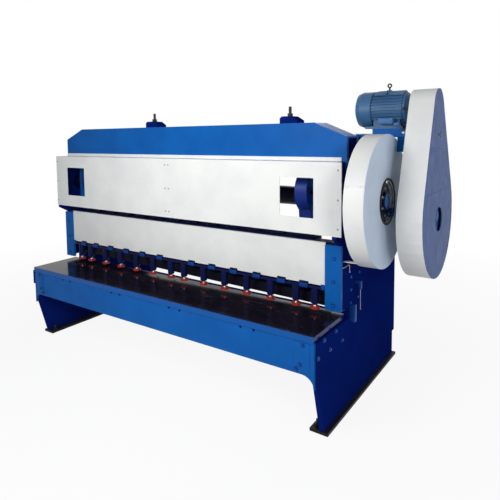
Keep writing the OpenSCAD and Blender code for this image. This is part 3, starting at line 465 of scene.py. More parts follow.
class Bench:
    """The tools that every sub-assembly models with."""

    @staticmethod
    def clear() -> None:
        """Deselects everything and leaves edit mode."""
        if bpy.context.mode != "OBJECT":
            bpy.ops.object.mode_set(mode="OBJECT")
        bpy.ops.object.select_all(action="DESELECT")

    @staticmethod
    def hold(piece: Object) -> None:
        """Selects one piece alone and makes it the active one."""
        Bench.clear()
        bpy.context.view_layer.objects.active = piece
        piece.select_set(True)

    @staticmethod
    def push(x: float, y: float, z: float) -> None:
        """Extrudes the selected faces by so many millimetres along each axis."""
        bpy.ops.mesh.extrude_region_move(TRANSFORM_OT_translate={"value": (x * MM, y * MM, z * MM)})

    @staticmethod
    def step_in(inset: float, rise: float, facing: Facing = Facing.UP) -> None:
        """Insets the selected faces and moves them outward, both in millimetres."""
        bpy.ops.mesh.inset(thickness=inset * MM)
        bpy.ops.transform.translate(value=tuple(v * rise * MM for v in facing.value))

    @staticmethod
    def cylinder(radius: float, height: float, sides: int = 24) -> Object:
        """Starts a piece from a cylinder that stands on the origin.

        Args:
            radius: In millimetres.
            height: In millimetres.
            sides: Faces round it.

        Returns:
            The new object, in object mode.
        """
        Bench.clear()
        bpy.ops.mesh.primitive_cylinder_add(vertices=sides, radius=radius * MM, depth=height * MM,
                                            location=(0, 0, height * MM / 2))
        bpy.ops.object.transform_apply(location=True, rotation=True, scale=True)
        return bpy.context.object

    @staticmethod
    def block(low: Vector, high: Vector) -> Object:
        """Starts a piece from a box between two corners.

        Args:
            low: Its lowest corner, in metres.
            high: Its highest corner, in metres.

        Returns:
            The new object, in object mode.
        """
        Bench.clear()
        bpy.ops.mesh.primitive_cube_add(size=1, location=(low + high) / 2)
        bpy.context.object.scale = high - low
        bpy.ops.object.transform_apply(location=True, rotation=True, scale=True)
        return bpy.context.object

    @staticmethod
    def pick(piece: Object, test: Callable[[Vector, Vector], bool]) -> None:
        """Enters edit mode with only the wanted faces selected.

        Args:
            piece: The object to edit.
            test: Says from a face's centre and normal whether it is wanted.
        """
        Bench.hold(piece)
        bpy.ops.object.mode_set(mode="EDIT")
        bpy.ops.mesh.select_mode(type="FACE")
        bpy.ops.mesh.select_all(action="DESELECT")
        mesh = bmesh.from_edit_mesh(piece.data)
        for face in mesh.faces:
            face.select_set(test(face.calc_center_median(), face.normal))
        bmesh.update_edit_mesh(piece.data)

    @staticmethod
    def round_edges(piece: Object, width: float, segments: int = 2) -> None:
        """Bevels a piece's sharp edges and shades it smooth.

        Args:
            piece: The object to finish.
            width: The bevel's width in millimetres.
            segments: Its steps.
        """
        Bench.hold(piece)
        bevel = piece.modifiers.new("edges", "BEVEL")
        bevel.width = width * MM
        bevel.segments = segments
        bevel.limit_method = "ANGLE"
        bevel.angle_limit = math.radians(40)
        bpy.ops.object.modifier_apply(modifier=bevel.name)
        bpy.ops.object.shade_smooth_by_angle(angle=math.radians(35))

    @staticmethod
    def plate(low: tuple, high: tuple, width: float = 1.5) -> Object:
        """Models a plate whose edges are broken.

        Args:
            low: Its corner nearest the left, the front and the floor: x, setback and z in millimetres.
            high: The corner across from it.
            width: The width of its broken edges, in millimetres.

        Returns:
            The plate, in its place.
        """
        piece = Bench.block(place(*low), place(*high))
        Bench.round_edges(piece, width)
        return piece

    @staticmethod
    def pull(piece: Object, test: Callable[[Vector, Vector], bool], step: tuple) -> None:
        """Extrudes some faces of a piece.

        Args:
            piece: The object to edit.
            test: Says from a face's centre and normal whether it moves.
            step: How far it moves along each axis, in millimetres.
        """
        Bench.pick(piece, test)
        Bench.push(*step)
        Bench.clear()

    @staticmethod
    def strap(low: Vector, high: Vector, facing: Facing, rise: float, width: float) -> Object:
        """Models a thin strap: a box with its outer face drawn out and its edges broken.

        Args:
            low: Its lowest corner, in metres.
            high: Its highest corner, in metres.
            facing: The way that its outer face looks.
            rise: How far that face is drawn out, in millimetres.
            width: The width of its broken edges, in millimetres.

        Returns:
            The strap.
        """
        piece = Bench.block(low, high)
        Bench.pull(piece, looks(facing), tuple(v * rise for v in facing.value))
        Bench.round_edges(piece, width)
        return piece

    @staticmethod
    def ring(outer: float, inner: float, height: float, sides: int = 48) -> Object:
        """Models a ring that lies on the origin.

        Args:
            outer: Its outer radius in millimetres.
            inner: Its inner radius in millimetres.
            height: In millimetres.
            sides: Faces round it.

        Returns:
            The ring.
        """
        piece = Bench.cylinder(outer, height, sides)
        Bench.pick(piece, lambda centre, normal: abs(normal.z) > 0.9)
        bpy.ops.mesh.inset(thickness=(outer - inner) * MM)
        bpy.ops.mesh.delete(type="FACE")
        bpy.ops.mesh.select_mode(type="EDGE")
        bpy.ops.mesh.select_non_manifold()
        bpy.ops.mesh.bridge_edge_loops()
        Bench.round_edges(piece, min(outer - inner, height) * 0.15)
        return piece

    @staticmethod
    def join(pieces: Iterable[Object], name: str) -> Object:
        """Joins several objects into one.

        Args:
            pieces: The objects, which are used up.
            name: The name of the result.

        Returns:
            The joined object.
        """
        pieces = list(pieces)
        Bench.clear()
        for piece in pieces:
            piece.select_set(True)
        bpy.context.view_layer.objects.active = pieces[0]
        if len(pieces) > 1:
            bpy.ops.object.join()
        pieces[0].name = name
        return pieces[0]

    @staticmethod
    def copies(model: Object, name: str, spots: Iterable[Vector], turn: Matrix) -> Object:
        """Sets copies of a fastener at several places, as one piece.

        Args:
            model: The fastener, standing on the origin with its head up; it is used up.
            name: The piece's name.
            spots: Where each copy sits, in metres.
            turn: The rotation that turns its head the right way.

        Returns:
            The joined object.
        """
        made = []
        for spot in spots:
            copy = model.copy()
            copy.data = model.data.copy()
            copy.data.transform(Matrix.Translation(spot) @ turn)
            bpy.context.collection.objects.link(copy)
            made.append(copy)
        bpy.data.objects.remove(model)
        return Bench.join(made, name)

    @staticmethod
    def hand_over(piece: Object, finish: Finish, body: Body = Body.MACHINE) -> Object:
        """Gives a finished piece its finish, slot and body.

        Args:
            piece: The finished piece.
            finish: Its finish.
            body: The body that it rides on.

        Returns:
            The same piece.
        """
        piece.data.materials.clear()
        piece.data.materials.append(finish.material())
        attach(piece, body.value)
        LOG.info("%s: %d faces on %s", piece.name, len(piece.data.polygons), body.value)
        return piece


class Fasteners:
    """The kinds of fastener, each modelled once on the origin with its head up.

    The numbers in their methods are shares of a fastener's width or rise.
    """

    @staticmethod
    def hex_bolt(across: float, washer: bool = True) -> Object:
        """Models a chamfered hexagon head on a washer.

        Args:
            across: Its width over the corners, in millimetres.
            washer: Whether it sits on a washer.

        Returns:
            The bolt's head.
        """
        height = across * 0.34
        head = Bench.cylinder(across / 2, height, 6)
        Bench.pick(head, looks(Facing.UP))
        Bench.step_in(across * 0.07, across * 0.03)
        Bench.step_in(across * 0.1, across * 0.015)
        Bench.round_edges(head, across * 0.015)
        if not washer:
            return head
        head.data.transform(Matrix.Translation((0, 0, across * 0.08 * MM)))
        plate = Bench.cylinder(across * 0.62, across * 0.1, 28)
        Bench.round_edges(plate, across * 0.02)
        return Bench.join([head, plate], "bolt")

    @staticmethod
    def socket_screw(width: float, rise: float) -> Object:
        """Models a cylinder head with its hexagon socket.

        Args:
            width: The head's width in millimetres.
            rise: How far it stands out, in millimetres.

        Returns:
            The screw's head.
        """
        head = Bench.cylinder(width / 2, rise, 24)
        Bench.pick(head, looks(Facing.UP))
        bpy.ops.mesh.inset(thickness=width * 0.24 * MM)
        Bench.push(0, 0, -rise * 0.6)
        Bench.round_edges(head, width * 0.04)
        return head

    @staticmethod
    def stud(width: float, height: float) -> Object:
        """Models an anchor: washer, nut and the end of its stud.

        Args:
            width: The nut's width over the corners, in millimetres.
            height: The stud's height above the washer's foot.

        Returns:
            The anchor.
        """
        nut = Fasteners.hex_bolt(width)
        end = Bench.cylinder(width * 0.25, height, 20)
        Bench.pick(end, looks(Facing.UP))
        Bench.step_in(width * 0.05, width * 0.04)
        return Bench.join([nut, end], "anchor")

    @staticmethod
    def dome_screw(width: float, rise: float) -> Object:
        """Models a domed sheet screw with a driver recess.

        Args:
            width: The head's width in millimetres.
            rise: Its height in millimetres.

        Returns:
            The screw's head.
        """
        head = Bench.cylinder(width / 2, rise * 0.5, 20)
        Bench.pick(head, looks(Facing.UP))
        Bench.step_in(width * 0.12, rise * 0.35)
        Bench.step_in(width * 0.16, rise * 0.15)
        bpy.ops.mesh.inset(thickness=width * 0.06 * MM)
        Bench.push(0, 0, -rise * 0.4)
        Bench.hold(head)
        bpy.ops.object.shade_smooth_by_angle(angle=math.radians(50))
        return head


@dataclass(frozen=True)
class Row:
    """Alike fasteners on one face, given by their places on the machine."""

    name: str
    model: Callable[[], Object]
    spots: tuple
    facing: Facing
    finish: Finish
    body: Body = Body.MACHINE

    def build(self) -> Object:
        """Returns the whole row as one piece, handed over."""
        spots = [place(*spot) for spot in self.spots]
        made = Bench.copies(self.model(), self.name, spots, self.facing.turn())
        return Bench.hand_over(made, self.finish, self.body)


@dataclass
class NodeDressing:
    """The finish of each CAD node."""

    # Where finishes share a slot, the one that the palette names first is the nodes' own
    finishes: dict[str, Finish] = field(default_factory=lambda: {
        finish.slot: finish for finish in reversed(list(vars(PALETTE).values()))})
    # The parts in the throat and behind the windows, whose finishes paint their shade and light
    inner: dict[str, Finish] = field(default_factory=lambda: {
        "left_pitman": PALETTE.pitman, "right_pitman": PALETTE.pitman, "ram_beam": PALETTE.shaded_navy,
        "hold_down_beam": PALETTE.shaded_navy, "hold_down_cylinders": PALETTE.shaded_navy})

    def dress(self) -> None:
        """Puts each node's finish into its material slots."""
        for part in frame["record"]["subparts"]:
            node = frame["nodes"][part["node"]]
            finish = self.inner.get(part["node"], self.finishes[part["material_slot"]])
            if not node.material_slots:
                node.data.materials.append(finish.material())
            for slot in node.material_slots:
                slot.material = finish.material()
            LOG.info("%s: %s", part["node"], finish.name)


@dataclass
class SideFrames:
    """The fasteners on the outer faces of the side frames, and the fittings on the right one.

    Bolts and screws lie at setbacks and heights. The sizes of the rod and the
    pipe are a radius and a length, those of the anchor a width and a height.
    """

    outer: float = 1752.0
    head: float = 28.0
    gib_head: float = 24.0
    table_bolts: tuple = ((347, 735), (474, 619), (136, 738), (243, 627), (34, 637))
    gib_screws: tuple = ((651, 1086), (653, 978), (646, 870), (838, 1084), (812, 874))
    foot_inset: float = 60.0
    anchor_size: tuple = (44, 52)
    gib_depth: float = 48.0
    gib_front: float = 632.0
    gib_screw_heights: tuple = (760, 830)
    bracket_depth: float = 38.0
    rod_size: tuple = (3.5, 175)
    rod_spot: tuple = (48, 747, 796)
    pipe_size: tuple = (4.5, 44)
    pipe_spot: tuple = (14, 590, 1142)
    bend_step: float = 15.0
    bend_length: float = 5.0

    def bolts(self) -> None:
        """Models the bolts, the gib screws and the anchors of both sides."""
        for side, facing, word in ((1, Facing.RIGHT, "right"), (-1, Facing.LEFT, "left")):
            spots = tuple((side * self.outer, d, z) for d, z in self.table_bolts)
            Row(f"{word}_table_bolts", lambda: Fasteners.hex_bolt(self.head), spots, facing,
                PALETTE.shaded_blue).build()
            spots = tuple((side * self.outer, d, z) for d, z in self.gib_screws)
            Row(f"{word}_gib_screws", lambda: Fasteners.hex_bolt(self.gib_head, False), spots, facing,
                PALETTE.blue).build()
            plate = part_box(f"{word}_foot_plate")
            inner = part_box(f"{word}_side_frame")
            middle = (min(abs(plate[0].x), abs(plate[1].x)) + min(abs(inner[0].x), abs(inner[1].x))) / 2
            spots = [Vector((side * middle, plate[0].y + self.foot_inset * MM, plate[1].z)),
                     Vector((side * middle, plate[1].y - self.foot_inset * MM, plate[1].z))]
            model = Fasteners.stud(*self.anchor_size)
            anchors = Bench.copies(model, f"{word}_anchor_nuts", spots, Facing.UP.turn())
            Bench.hand_over(anchors, PALETTE.black)

    def gib_block(self) -> None:
        """Models the block that the ram's front guide is set with, with its two screws."""
        block = Bench.plate((self.outer, self.gib_front, 724), (self.outer + self.gib_depth, 668, 862), 3)
        Bench.pull(block, looks(Facing.DOWN), (0, 0, -8))
        Bench.hand_over(Bench.join([block], "gib_block"), PALETTE.shaded_blue)
        spots = tuple((self.outer + self.gib_depth / 2, self.gib_front, z) for z in self.gib_screw_heights)
        Row("gib_block_screws", lambda: Fasteners.socket_screw(16, 5), spots, Facing.FRONT,
            PALETTE.shaded_blue).build()

    def stand(self, model: Object, name: str, spot: tuple) -> None:
        """Stands a fitting beside the right frame.

        Args:
            model: The fitting, standing on the origin.
            name: The piece's name.
            spot: Its place: outward from the frame, setback and z, in millimetres.
        """
        out, setback, z = spot
        made = Bench.copies(model, name, [place(self.outer + out, setback, z)], Facing.UP.turn())
        Bench.hand_over(made, PALETTE.zinc)

    def rod_bracket(self) -> None:
        """Models the bracket behind the guides and the thin rod that hangs from it."""
        reach = self.outer + self.bracket_depth
        arm = Bench.block(place(self.outer, 734, 1012), place(reach, 760, 1034))
        Bench.pull(arm, looks(Facing.RIGHT), (20, 0, 0))
        Bench.pull(arm, looks(Facing.DOWN, lambda centre: centre.x > (reach + 2) * MM), (0, 0, -44))
        Bench.round_edges(arm, 2)
        Bench.hand_over(Bench.join([arm], "rod_bracket"), PALETTE.shaded_blue)
        rod = Bench.cylinder(*self.rod_size, 16)
        Bench.pull(rod, looks(Facing.DOWN), (0, 0, -4))
        nut = Fasteners.hex_bolt(14, False)
        self.stand(Bench.join([rod, nut], "rod"), "bracket_rod", self.rod_spot)

    def grease_pipe(self) -> None:
        """Models the thin pipe that brings grease to the front guide, bent over at its top."""
        pipe = Bench.cylinder(*self.pipe_size, 16)
        middle = Vector((0, 0, self.pipe_size[1])) * MM
        Bench.pick(pipe, looks(Facing.UP))
        for turn in range(1, 7):
            angle = math.radians(self.bend_step * (turn - 0.5))
            step = Vector((0, math.sin(angle), math.cos(angle))) * self.bend_length * MM
            bpy.ops.mesh.extrude_region_move(TRANSFORM_OT_translate={"value": step})
            middle = middle + step
            bpy.ops.transform.rotate(value=math.radians(self.bend_step), orient_axis="X",
                                     center_override=middle)
        Bench.push(0, 110, 0)
        Bench.clear()
        nut = Fasteners.hex_bolt(18, False)
        pipe = Bench.join([pipe, nut], "pipe")
        bpy.ops.object.shade_smooth_by_angle(angle=math.radians(35))
        self.stand(pipe, "grease_pipe", self.pipe_spot)

    def build(self) -> None:
        """Models everything on the side frames."""
        self.bolts()
        self.gib_block()
        self.rod_bracket()
        self.grease_pipe()


@dataclass
class Covers:
    """The screws of the front covers and the joints of the strip on top of them.

    A joint's corners lie at a setback and a height.
    """

    face: float = 359.0
    heights: tuple = (1980, 1751, 1527)
    columns: tuple = (1762, 22, -22, -1740)
    joints: tuple = (-1124, -495, 1198, 1539)
    joint_half: float = 9.0
    joint_low: tuple = (518, 2041)
    joint_high: tuple = (520, 2069)

    def build(self) -> None:
        """Models the screws and the joint straps."""
        spots = tuple((x, self.face, z) for x in self.columns for z in self.heights)
        Row("cover_screws", lambda: Fasteners.dome_screw(15, 4), spots, Facing.FRONT, PALETTE.zinc).build()
        half = self.joint_half
        straps = [Bench.plate((x - half, *self.joint_low), (x + half, *self.joint_high), 0.6)
                  for x in self.joints]
        Bench.hand_over(Bench.join(straps, "cover_joint_straps"), PALETTE.white)


@dataclass
class FrontStrips:
    """The sunk screws of the two blue strips beside the lower panel."""

    face: float = 451.0
    spots: tuple = ((1694, 1272), (1688, 1083), (1688, 890))

    def build(self) -> None:
        """Models the screws with navy rings round their heads, painted shade for the counterbores that they
        sit in.
        """
        spots = tuple((side * x, self.face, z) for side in (1, -1) for x, z in self.spots)
        Row("strip_screws", lambda: Fasteners.socket_screw(25, 4), spots, Facing.FRONT, PALETTE.blue).build()
        Row("strip_screw_recess_shade", lambda: Bench.ring(17, 13.5, 1.5, 32), spots, Facing.FRONT,
            PALETTE.navy).build()


@dataclass
class HoldDowns:
    """The gland nuts, lock rings and lug bolts of the hold-down row."""

    places: tuple = (87, 337, 587, 837, 1087, 1337, 1511)
    lugs: tuple = (212, 462, 712, 962, 1212, 1424)
    setback: float = 488.0
    cylinder_z: float = 870.0
    pad_z: float = 845.0
    collar_z: float = 966.0
    lug_half: float = 38.0
    lug_face: float = 447.0

    def build(self) -> None:
        """Models the nuts and rings of every cylinder, and the lugs' bolts."""
        both = tuple(side * x for side in (1, -1) for x in self.places)
        for name, model, z, facing, finish, body in (
                ("gland_nuts", lambda: Bench.ring(27, 13.5, 7, 6), self.cylinder_z, Facing.DOWN,
                 PALETTE.shaded_navy, Body.MACHINE),
                ("cylinder_collars", lambda: Bench.ring(37, 32.5, 10, 32), self.collar_z, Facing.UP,
                 PALETTE.shaded_navy, Body.MACHINE),
                ("rod_lock_rings", lambda: Bench.ring(19, 12.2, 5, 24), self.pad_z, Facing.UP,
                 PALETTE.chrome, Body.HOLD_DOWNS)):
            Row(name, model, tuple((x, self.setback, z) for x in both), facing, finish, body).build()
        lugs = [side * x for side in (1, -1) for x in self.lugs]
        back = self.lug_face + 4.5
        plates = [Bench.plate((x - self.lug_half, self.lug_face, 999), (x + self.lug_half, back, 1033))
                  for x in lugs]
        # The lug plates take the darker blue as painted shade
        Bench.hand_over(Bench.join(plates, "lug_plates"), PALETTE.shaded_blue)
        spots = tuple((x + off, self.lug_face, 1016) for x in lugs for off in (-22, 22))
        Row("lug_screws", lambda: Fasteners.socket_screw(13, 4), spots, Facing.FRONT,
            PALETTE.shaded_blue).build()
        ends = [Bench.plate((low, 451, 1000), (high, 460, 1044)) for low, high in both_sides(1580, 1611)]
        Bench.hand_over(Bench.join(ends, "end_lugs"), PALETTE.shaded_blue)


@dataclass
class CrankDrive:
    """The rail on the hold-down beam, and the bolts on the pitmans, the crank bearings and the blade.

    Bolts lie at setbacks and heights.
    """

    setback: float = 651.0
    height: float = 1728.0
    bearing_face: float = 1842.0
    bearing_bolt_r: float = 172.0
    pitman_face: float = 1445.0
    strap_bolts: tuple = ((494, 1784), (808, 1784), (549, 1774))
    blade_bolt_line: tuple = (711, 905)
    rail_end: float = 1482.0
    rail_top: float = 1402.0
    rail_back: float = 546.0
    rail_pitch: int = 240

    def beam_rail(self) -> None:
        """Models the angle that stiffens the top of the hold-down beam, with its gussets and screws."""
        back = place(0, self.rail_back, 0).y
        rail = Bench.block(place(-self.rail_end, 506, 1394),
                           place(self.rail_end, self.rail_back, self.rail_top))
        Bench.pull(rail, looks(Facing.REAR), (0, 8, 0))
        Bench.pull(rail, looks(Facing.UP, lambda centre: centre.y > back), (0, 0, 62))
        Bench.round_edges(rail, 1.5)
        gussets = [Bench.plate((x - 5, 510, 1400), (x + 5, 547, 1436))
                   for x in range(-1200, 1201, self.rail_pitch)]
        Bench.hand_over(Bench.join([rail, *gussets], "beam_rail"), PALETTE.shaded_navy)
        spots = tuple((x, 526, self.rail_top) for x in range(-1080, 1081, self.rail_pitch))
        Row("beam_rail_screws", lambda: Fasteners.hex_bolt(20, False), spots, Facing.UP,
            PALETTE.shaded_blue).build()

    def build(self) -> None:
        """Models the rail and the bolts of the pitmans, bearings and blade."""
        self.beam_rail()
        for side, facing, word in ((1, Facing.RIGHT, "right"), (-1, Facing.LEFT, "left")):
            spots = tuple((side * self.pitman_face, d, z) for d, z in self.strap_bolts)
            Row(f"{word}_strap_bolts", lambda: Fasteners.hex_bolt(26), spots, facing, PALETTE.black).build()
            centre = (side * self.bearing_face, self.setback, self.height)
            spots = around(centre, self.bearing_bolt_r, 30, 60, 6)
            Row(f"{word}_bearing_bolts", lambda: Fasteners.hex_bolt(30), spots, facing, PALETTE.black).build()
        spots = tuple((x, *self.blade_bolt_line) for x in range(-1500, 1501, 250))
        Row("blade_bolts", lambda: Fasteners.hex_bolt(30), spots, Facing.REAR, PALETTE.black,
            Body.RAM).build()


@dataclass
class RoundGuard:
    """The edging, seams and clutch fittings of the round guard."""

    setback: float = 651.0
    height: float = 1728.0
    radius: float = 521.0
    face: float = 2045.0
    back: float = 1895.0
    hole_r: float = 175.0
    hub_face: float = 2039.0
    seams: tuple = (162.5, -17.5)
    seam_spans: tuple = ((150, 478), (826, 1130))
    screw_r: float = 485.0
    stud_r: float = 112.0

    def round_rim(self, piece: Object, x: float, angle: float) -> Object:
        """Turns a piece from the origin onto the rim.

        Args:
            piece: The piece, whose up becomes outward.
            x: Its place along the rim's width, in millimetres.
            angle: In degrees above the rearward direction.

        Returns:
            The same piece.
        """
        turn = Matrix.Rotation(math.radians(angle - 90), 4, "X")
        piece.data.transform(Matrix.Translation(place(x, self.setback, self.height)) @ turn
                             @ Matrix.Translation((0, 0, self.radius * MM)))
        return piece

    def rim_seams(self) -> None:
        """Models the straps where the rim's two halves meet, each with two screws."""
        made = []
        width = self.face - self.back
        for angle in self.seams:
            strap = Bench.strap(Vector((2, -9, -1)) * MM, Vector((width - 2, 9, 2)) * MM, Facing.UP, 0.6, 0.7)
            made.append(self.round_rim(strap, self.back, angle))
            for x in (28, 118):
                screw = Fasteners.dome_screw(13, 5)
                screw.data.transform(Matrix.Translation((0, 0, 2 * MM)))
                made.append(self.round_rim(screw, self.back + x, angle))
        Bench.hand_over(Bench.join(made, "round_rim_seams"), PALETTE.white)

    def face_seam(self) -> None:
        """Models the joint that crosses the face on both sides of the hole."""
        pivot = place(self.face, 630, 1638)
        tilt = Matrix.Rotation(math.radians(-8), 4, "X")
        made = []
        for low, high in self.seam_spans:
            strap = Bench.strap(place(self.face - 1, low, 1634), place(self.face + 1.6, high, 1642),
                                Facing.RIGHT, 0.5, 0.6)
            strap.data.transform(Matrix.Translation(pivot) @ tilt @ Matrix.Translation(-pivot))
            made.append(strap)
        Bench.hand_over(Bench.join(made, "round_face_seam"), PALETTE.guard)

    def clutch(self) -> None:
        """Models the cap, the bright ring and the studs on the clutch hub."""
        hub = (self.hub_face, self.setback, self.height)
        cap = Bench.cylinder(62, 6, 48)
        Bench.pick(cap, looks(Facing.UP))
        bpy.ops.mesh.inset(thickness=16 * MM)
        Bench.push(0, 0, -3)
        Bench.step_in(20, 2)
        Bench.round_edges(cap, 1)
        Row("clutch_cap", lambda: cap, (hub,), Facing.RIGHT, PALETTE.crank).build()
        Row("clutch_ring", lambda: Bench.ring(149, 143, 4, 64), (hub,), Facing.RIGHT, PALETTE.hub).build()
        Row("clutch_studs", lambda: Fasteners.hex_bolt(24, False), around(hub, self.stud_r, 22.5, 45, 8),
            Facing.RIGHT, PALETTE.zinc).build()

    def build(self) -> None:
        """Models everything on the round guard."""
        middle = (self.face, self.setback, self.height)
        Row("hub_hole_edging", lambda: Bench.ring(self.hole_r + 9, self.hole_r - 7, 8, 96), (middle,),
            Facing.RIGHT, PALETTE.black).build()
        spots = around(middle, self.screw_r, 162, -60, 6)
        Row("round_face_screws", lambda: Fasteners.dome_screw(13, 4), spots, Facing.RIGHT,
            PALETTE.guard).build()
        self.rim_seams()
        self.face_seam()
        self.clutch()


@dataclass
class BeltGuard:
    """The arrow, joints and screws of the belt guard."""

    face: float = 2347.0
    middle: float = 1000.0
    arrow_z: float = 2240.0
    hole_z: float = 1566.0
    hole_r: float = 98.0
    joints: tuple = ((2135, 282), (2112, 292), (1792, 442))
    rim_screws: tuple = ((2251, 694, 2117), (2251, 620, 1950), (2251, 785, 2320))
    rim_angle: float = 155.9

    def arrow(self) -> None:
        """Models the raised arrow that shows which way the flywheel turns."""
        arrow = Bench.block(place(self.face - 1, self.middle - 70, self.arrow_z - 8),
                            place(self.face + 1.5, self.middle, self.arrow_z + 8))
        Bench.pick(arrow, looks(Facing.REAR))
        Bench.push(0, 0.5, 0)
        bpy.ops.transform.resize(value=(1, 1, 3.2))
        Bench.push(0, 66, 0)
        bpy.ops.transform.resize(value=(1, 1, 0.05))
        Bench.round_edges(arrow, 0.4)
        Bench.hand_over(Bench.join([arrow], "turning_arrow"), PALETTE.black)

    def build(self) -> None:
        """Models everything on the belt guard."""
        self.arrow()
        straps = [Bench.strap(place(self.face - 1, self.middle - half, z - 2.5),
                              place(self.face + 1.2, self.middle + half, z + 2.5), Facing.RIGHT, 0.5, 0.5)
                  for z, half in self.joints]
        # The joints and the hole's edging take the face's painted shade
        Bench.hand_over(Bench.join(straps, "belt_guard_joints"), PALETTE.belt_guard)
        Row("belt_hole_edging", lambda: Bench.ring(self.hole_r + 5, self.hole_r - 1, 3, 64),
            ((self.face, self.middle, self.hole_z),), Facing.RIGHT, PALETTE.belt_guard).build()
        turn = Matrix.Rotation(math.radians(self.rim_angle - 90), 4, "X")
        screws = Bench.copies(Fasteners.dome_screw(14, 5), "belt_rim_screws",
                              [place(*spot) for spot in self.rim_screws], turn)
        Bench.hand_over(screws, PALETTE.zinc)


@dataclass
class Motor:
    """The bolts, lid, grille and blank plate of the motor, and the painted edge highlights of its shelf."""

    setback: float = 1000.0
    height: float = 2455.0
    radius: float = 150.0
    cowl_end: float = 1690.0
    shield_bolts: tuple = ((2096, 869, 2450), (2120, 869, 2450))
    foot_bolts: tuple = ((1806, 882), (1806, 1118), (2052, 882), (2052, 1118))
    foot_top: float = 2313.0
    grille_r: tuple = (104, 84, 64, 44)
    plate_angle: float = 122.0

    def bolts(self) -> None:
        """Models the shield's bolts and the feet's bolts."""
        Row("shield_bolts", lambda: Fasteners.hex_bolt(18), self.shield_bolts, Facing.FRONT,
            PALETTE.black).build()
        spots = tuple((x, d, self.foot_top) for x, d in self.foot_bolts)
        Row("motor_foot_bolts", lambda: Fasteners.hex_bolt(20), spots, Facing.UP, PALETTE.black).build()

    def grille(self) -> None:
        """Models the cowl's air grille from rings and three ribs."""
        made = [Bench.ring(r, r - 8, 4, 48) for r in self.grille_r]
        reach = self.grille_r[0]
        for turn in range(3):
            rib = Bench.block(Vector((-reach, -4, 0)) * MM, Vector((reach, 4, 3)) * MM)
            Bench.pull(rib, looks(Facing.UP), (0, 0, 1.5))
            rib.data.transform(Matrix.Rotation(math.radians(60 * turn), 4, "Z"))
            made.append(rib)
        model = Bench.join(made, "grille")
        Row("cowl_grille", lambda: model, ((self.cowl_end, self.setback, self.height),), Facing.LEFT,
            PALETTE.motor).build()

    def terminals(self) -> None:
        """Models the terminal box's lid with its screws, and the small block beside it."""
        lid = Bench.block(place(1911, 821, 2335), place(2020, 825.5, 2372))
        Bench.pick(lid, looks(Facing.FRONT))
        Bench.step_in(5, 1.5, Facing.FRONT)
        Bench.round_edges(lid, 0.8)
        Bench.hand_over(Bench.join([lid], "terminal_lid"), PALETTE.box)
        spots = tuple((x, 819.6, z) for x in (1920, 2011) for z in (2342, 2365))
        Row("terminal_lid_screws", lambda: Fasteners.dome_screw(7, 2.5), spots, Facing.FRONT,
            PALETTE.zinc).build()
        block = Bench.plate((2027, 836, 2314), (2072, 880, 2340), 2)
        Bench.pull(block, looks(Facing.DOWN), (0, 0, -6))
        Bench.hand_over(Bench.join([block], "cable_block"), PALETTE.box)

    def blank_plate(self) -> None:
        """Models the blank plate on the motor's upper front."""
        plate = Bench.strap(Vector((1868, -34, 0)) * MM, Vector((1946, 34, 3)) * MM, Facing.UP, 1, 1)
        turn = Matrix.Rotation(math.radians(self.plate_angle - 90), 4, "X")
        plate.data.transform(Matrix.Translation(place(0, self.setback, self.height)) @ turn
                             @ Matrix.Translation((0, 0, (self.radius + 1) * MM)))
        Bench.hand_over(Bench.join([plate], "motor_plate"), PALETTE.motor)

    def shelf_edge_highlights(self) -> None:
        """Models pale strips along the edges of the shelf and its column: painted highlights of their lit
        edges.
        """
        edge = Bench.block(place(1706, 845, 2250), place(1850, 850, 2256))
        Bench.pull(edge, looks(Facing.LEFT), (-6, 0, 0))
        Bench.pull(edge, looks(Facing.DOWN, lambda centre: centre.x < 1.7), (0, 0, -96))
        Bench.round_edges(edge, 0.8)
        made = [edge, Bench.plate((2044, 866, 2150), (2048, 872, 2216), 1),
                Bench.plate((2087, 856, 2250), (2108, 892, 2268), 2)]
        Bench.hand_over(Bench.join(made, "shelf_edge_highlights"), PALETTE.white)

    def build(self) -> None:
        """Models everything on the motor and its shelf."""
        self.bolts()
        self.grille()
        self.terminals()
        self.blank_plate()
        self.shelf_edge_highlights()


@dataclass
class Apron:
    """The pads and bolts at the two ends of the apron."""

    face: float = 8.0
    bolts: tuple = ((1646, 721), (1621, 571), (1588, 532))

    def build(self) -> None:
        """Models the pads and the bolts on both ends."""
        pads = [Bench.strap(place(low, self.face - 2, 516), place(high, self.face + 0.5, 738),
                            Facing.FRONT, 1, 1.2) for low, high in both_sides(1572, 1700)]
        Bench.hand_over(Bench.join(pads, "apron_pads"), PALETTE.blue)
        spots = tuple((side * x, self.face - 3, z) for side in (1, -1) for x, z in self.bolts)
        Row("apron_bolts", lambda: Fasteners.hex_bolt(26), spots, Facing.FRONT, PALETTE.shaded_blue).build()


@dataclass(frozen=True)
class Lamp:
    """A soft area lamp. Its spot, target and size are in metres, its power in watts."""

    name: str
    spot: tuple
    target: tuple
    size: float
    power: float
    colour: tuple = (1.0, 1.0, 1.0)

    def hang(self) -> None:
        """Adds the lamp to the scene."""
        data = bpy.data.lights.new(self.name, "AREA")
        data.energy = self.power
        data.color = self.colour
        data.size = self.size
        lamp = bpy.data.objects.new(self.name, data)
        aim = Vector(self.target) - Vector(self.spot)
        turn = aim.to_track_quat("-Z", "Y").to_matrix().to_4x4()
        lamp.matrix_world = Matrix.Translation(self.spot) @ turn
        bpy.context.collection.objects.link(lamp)


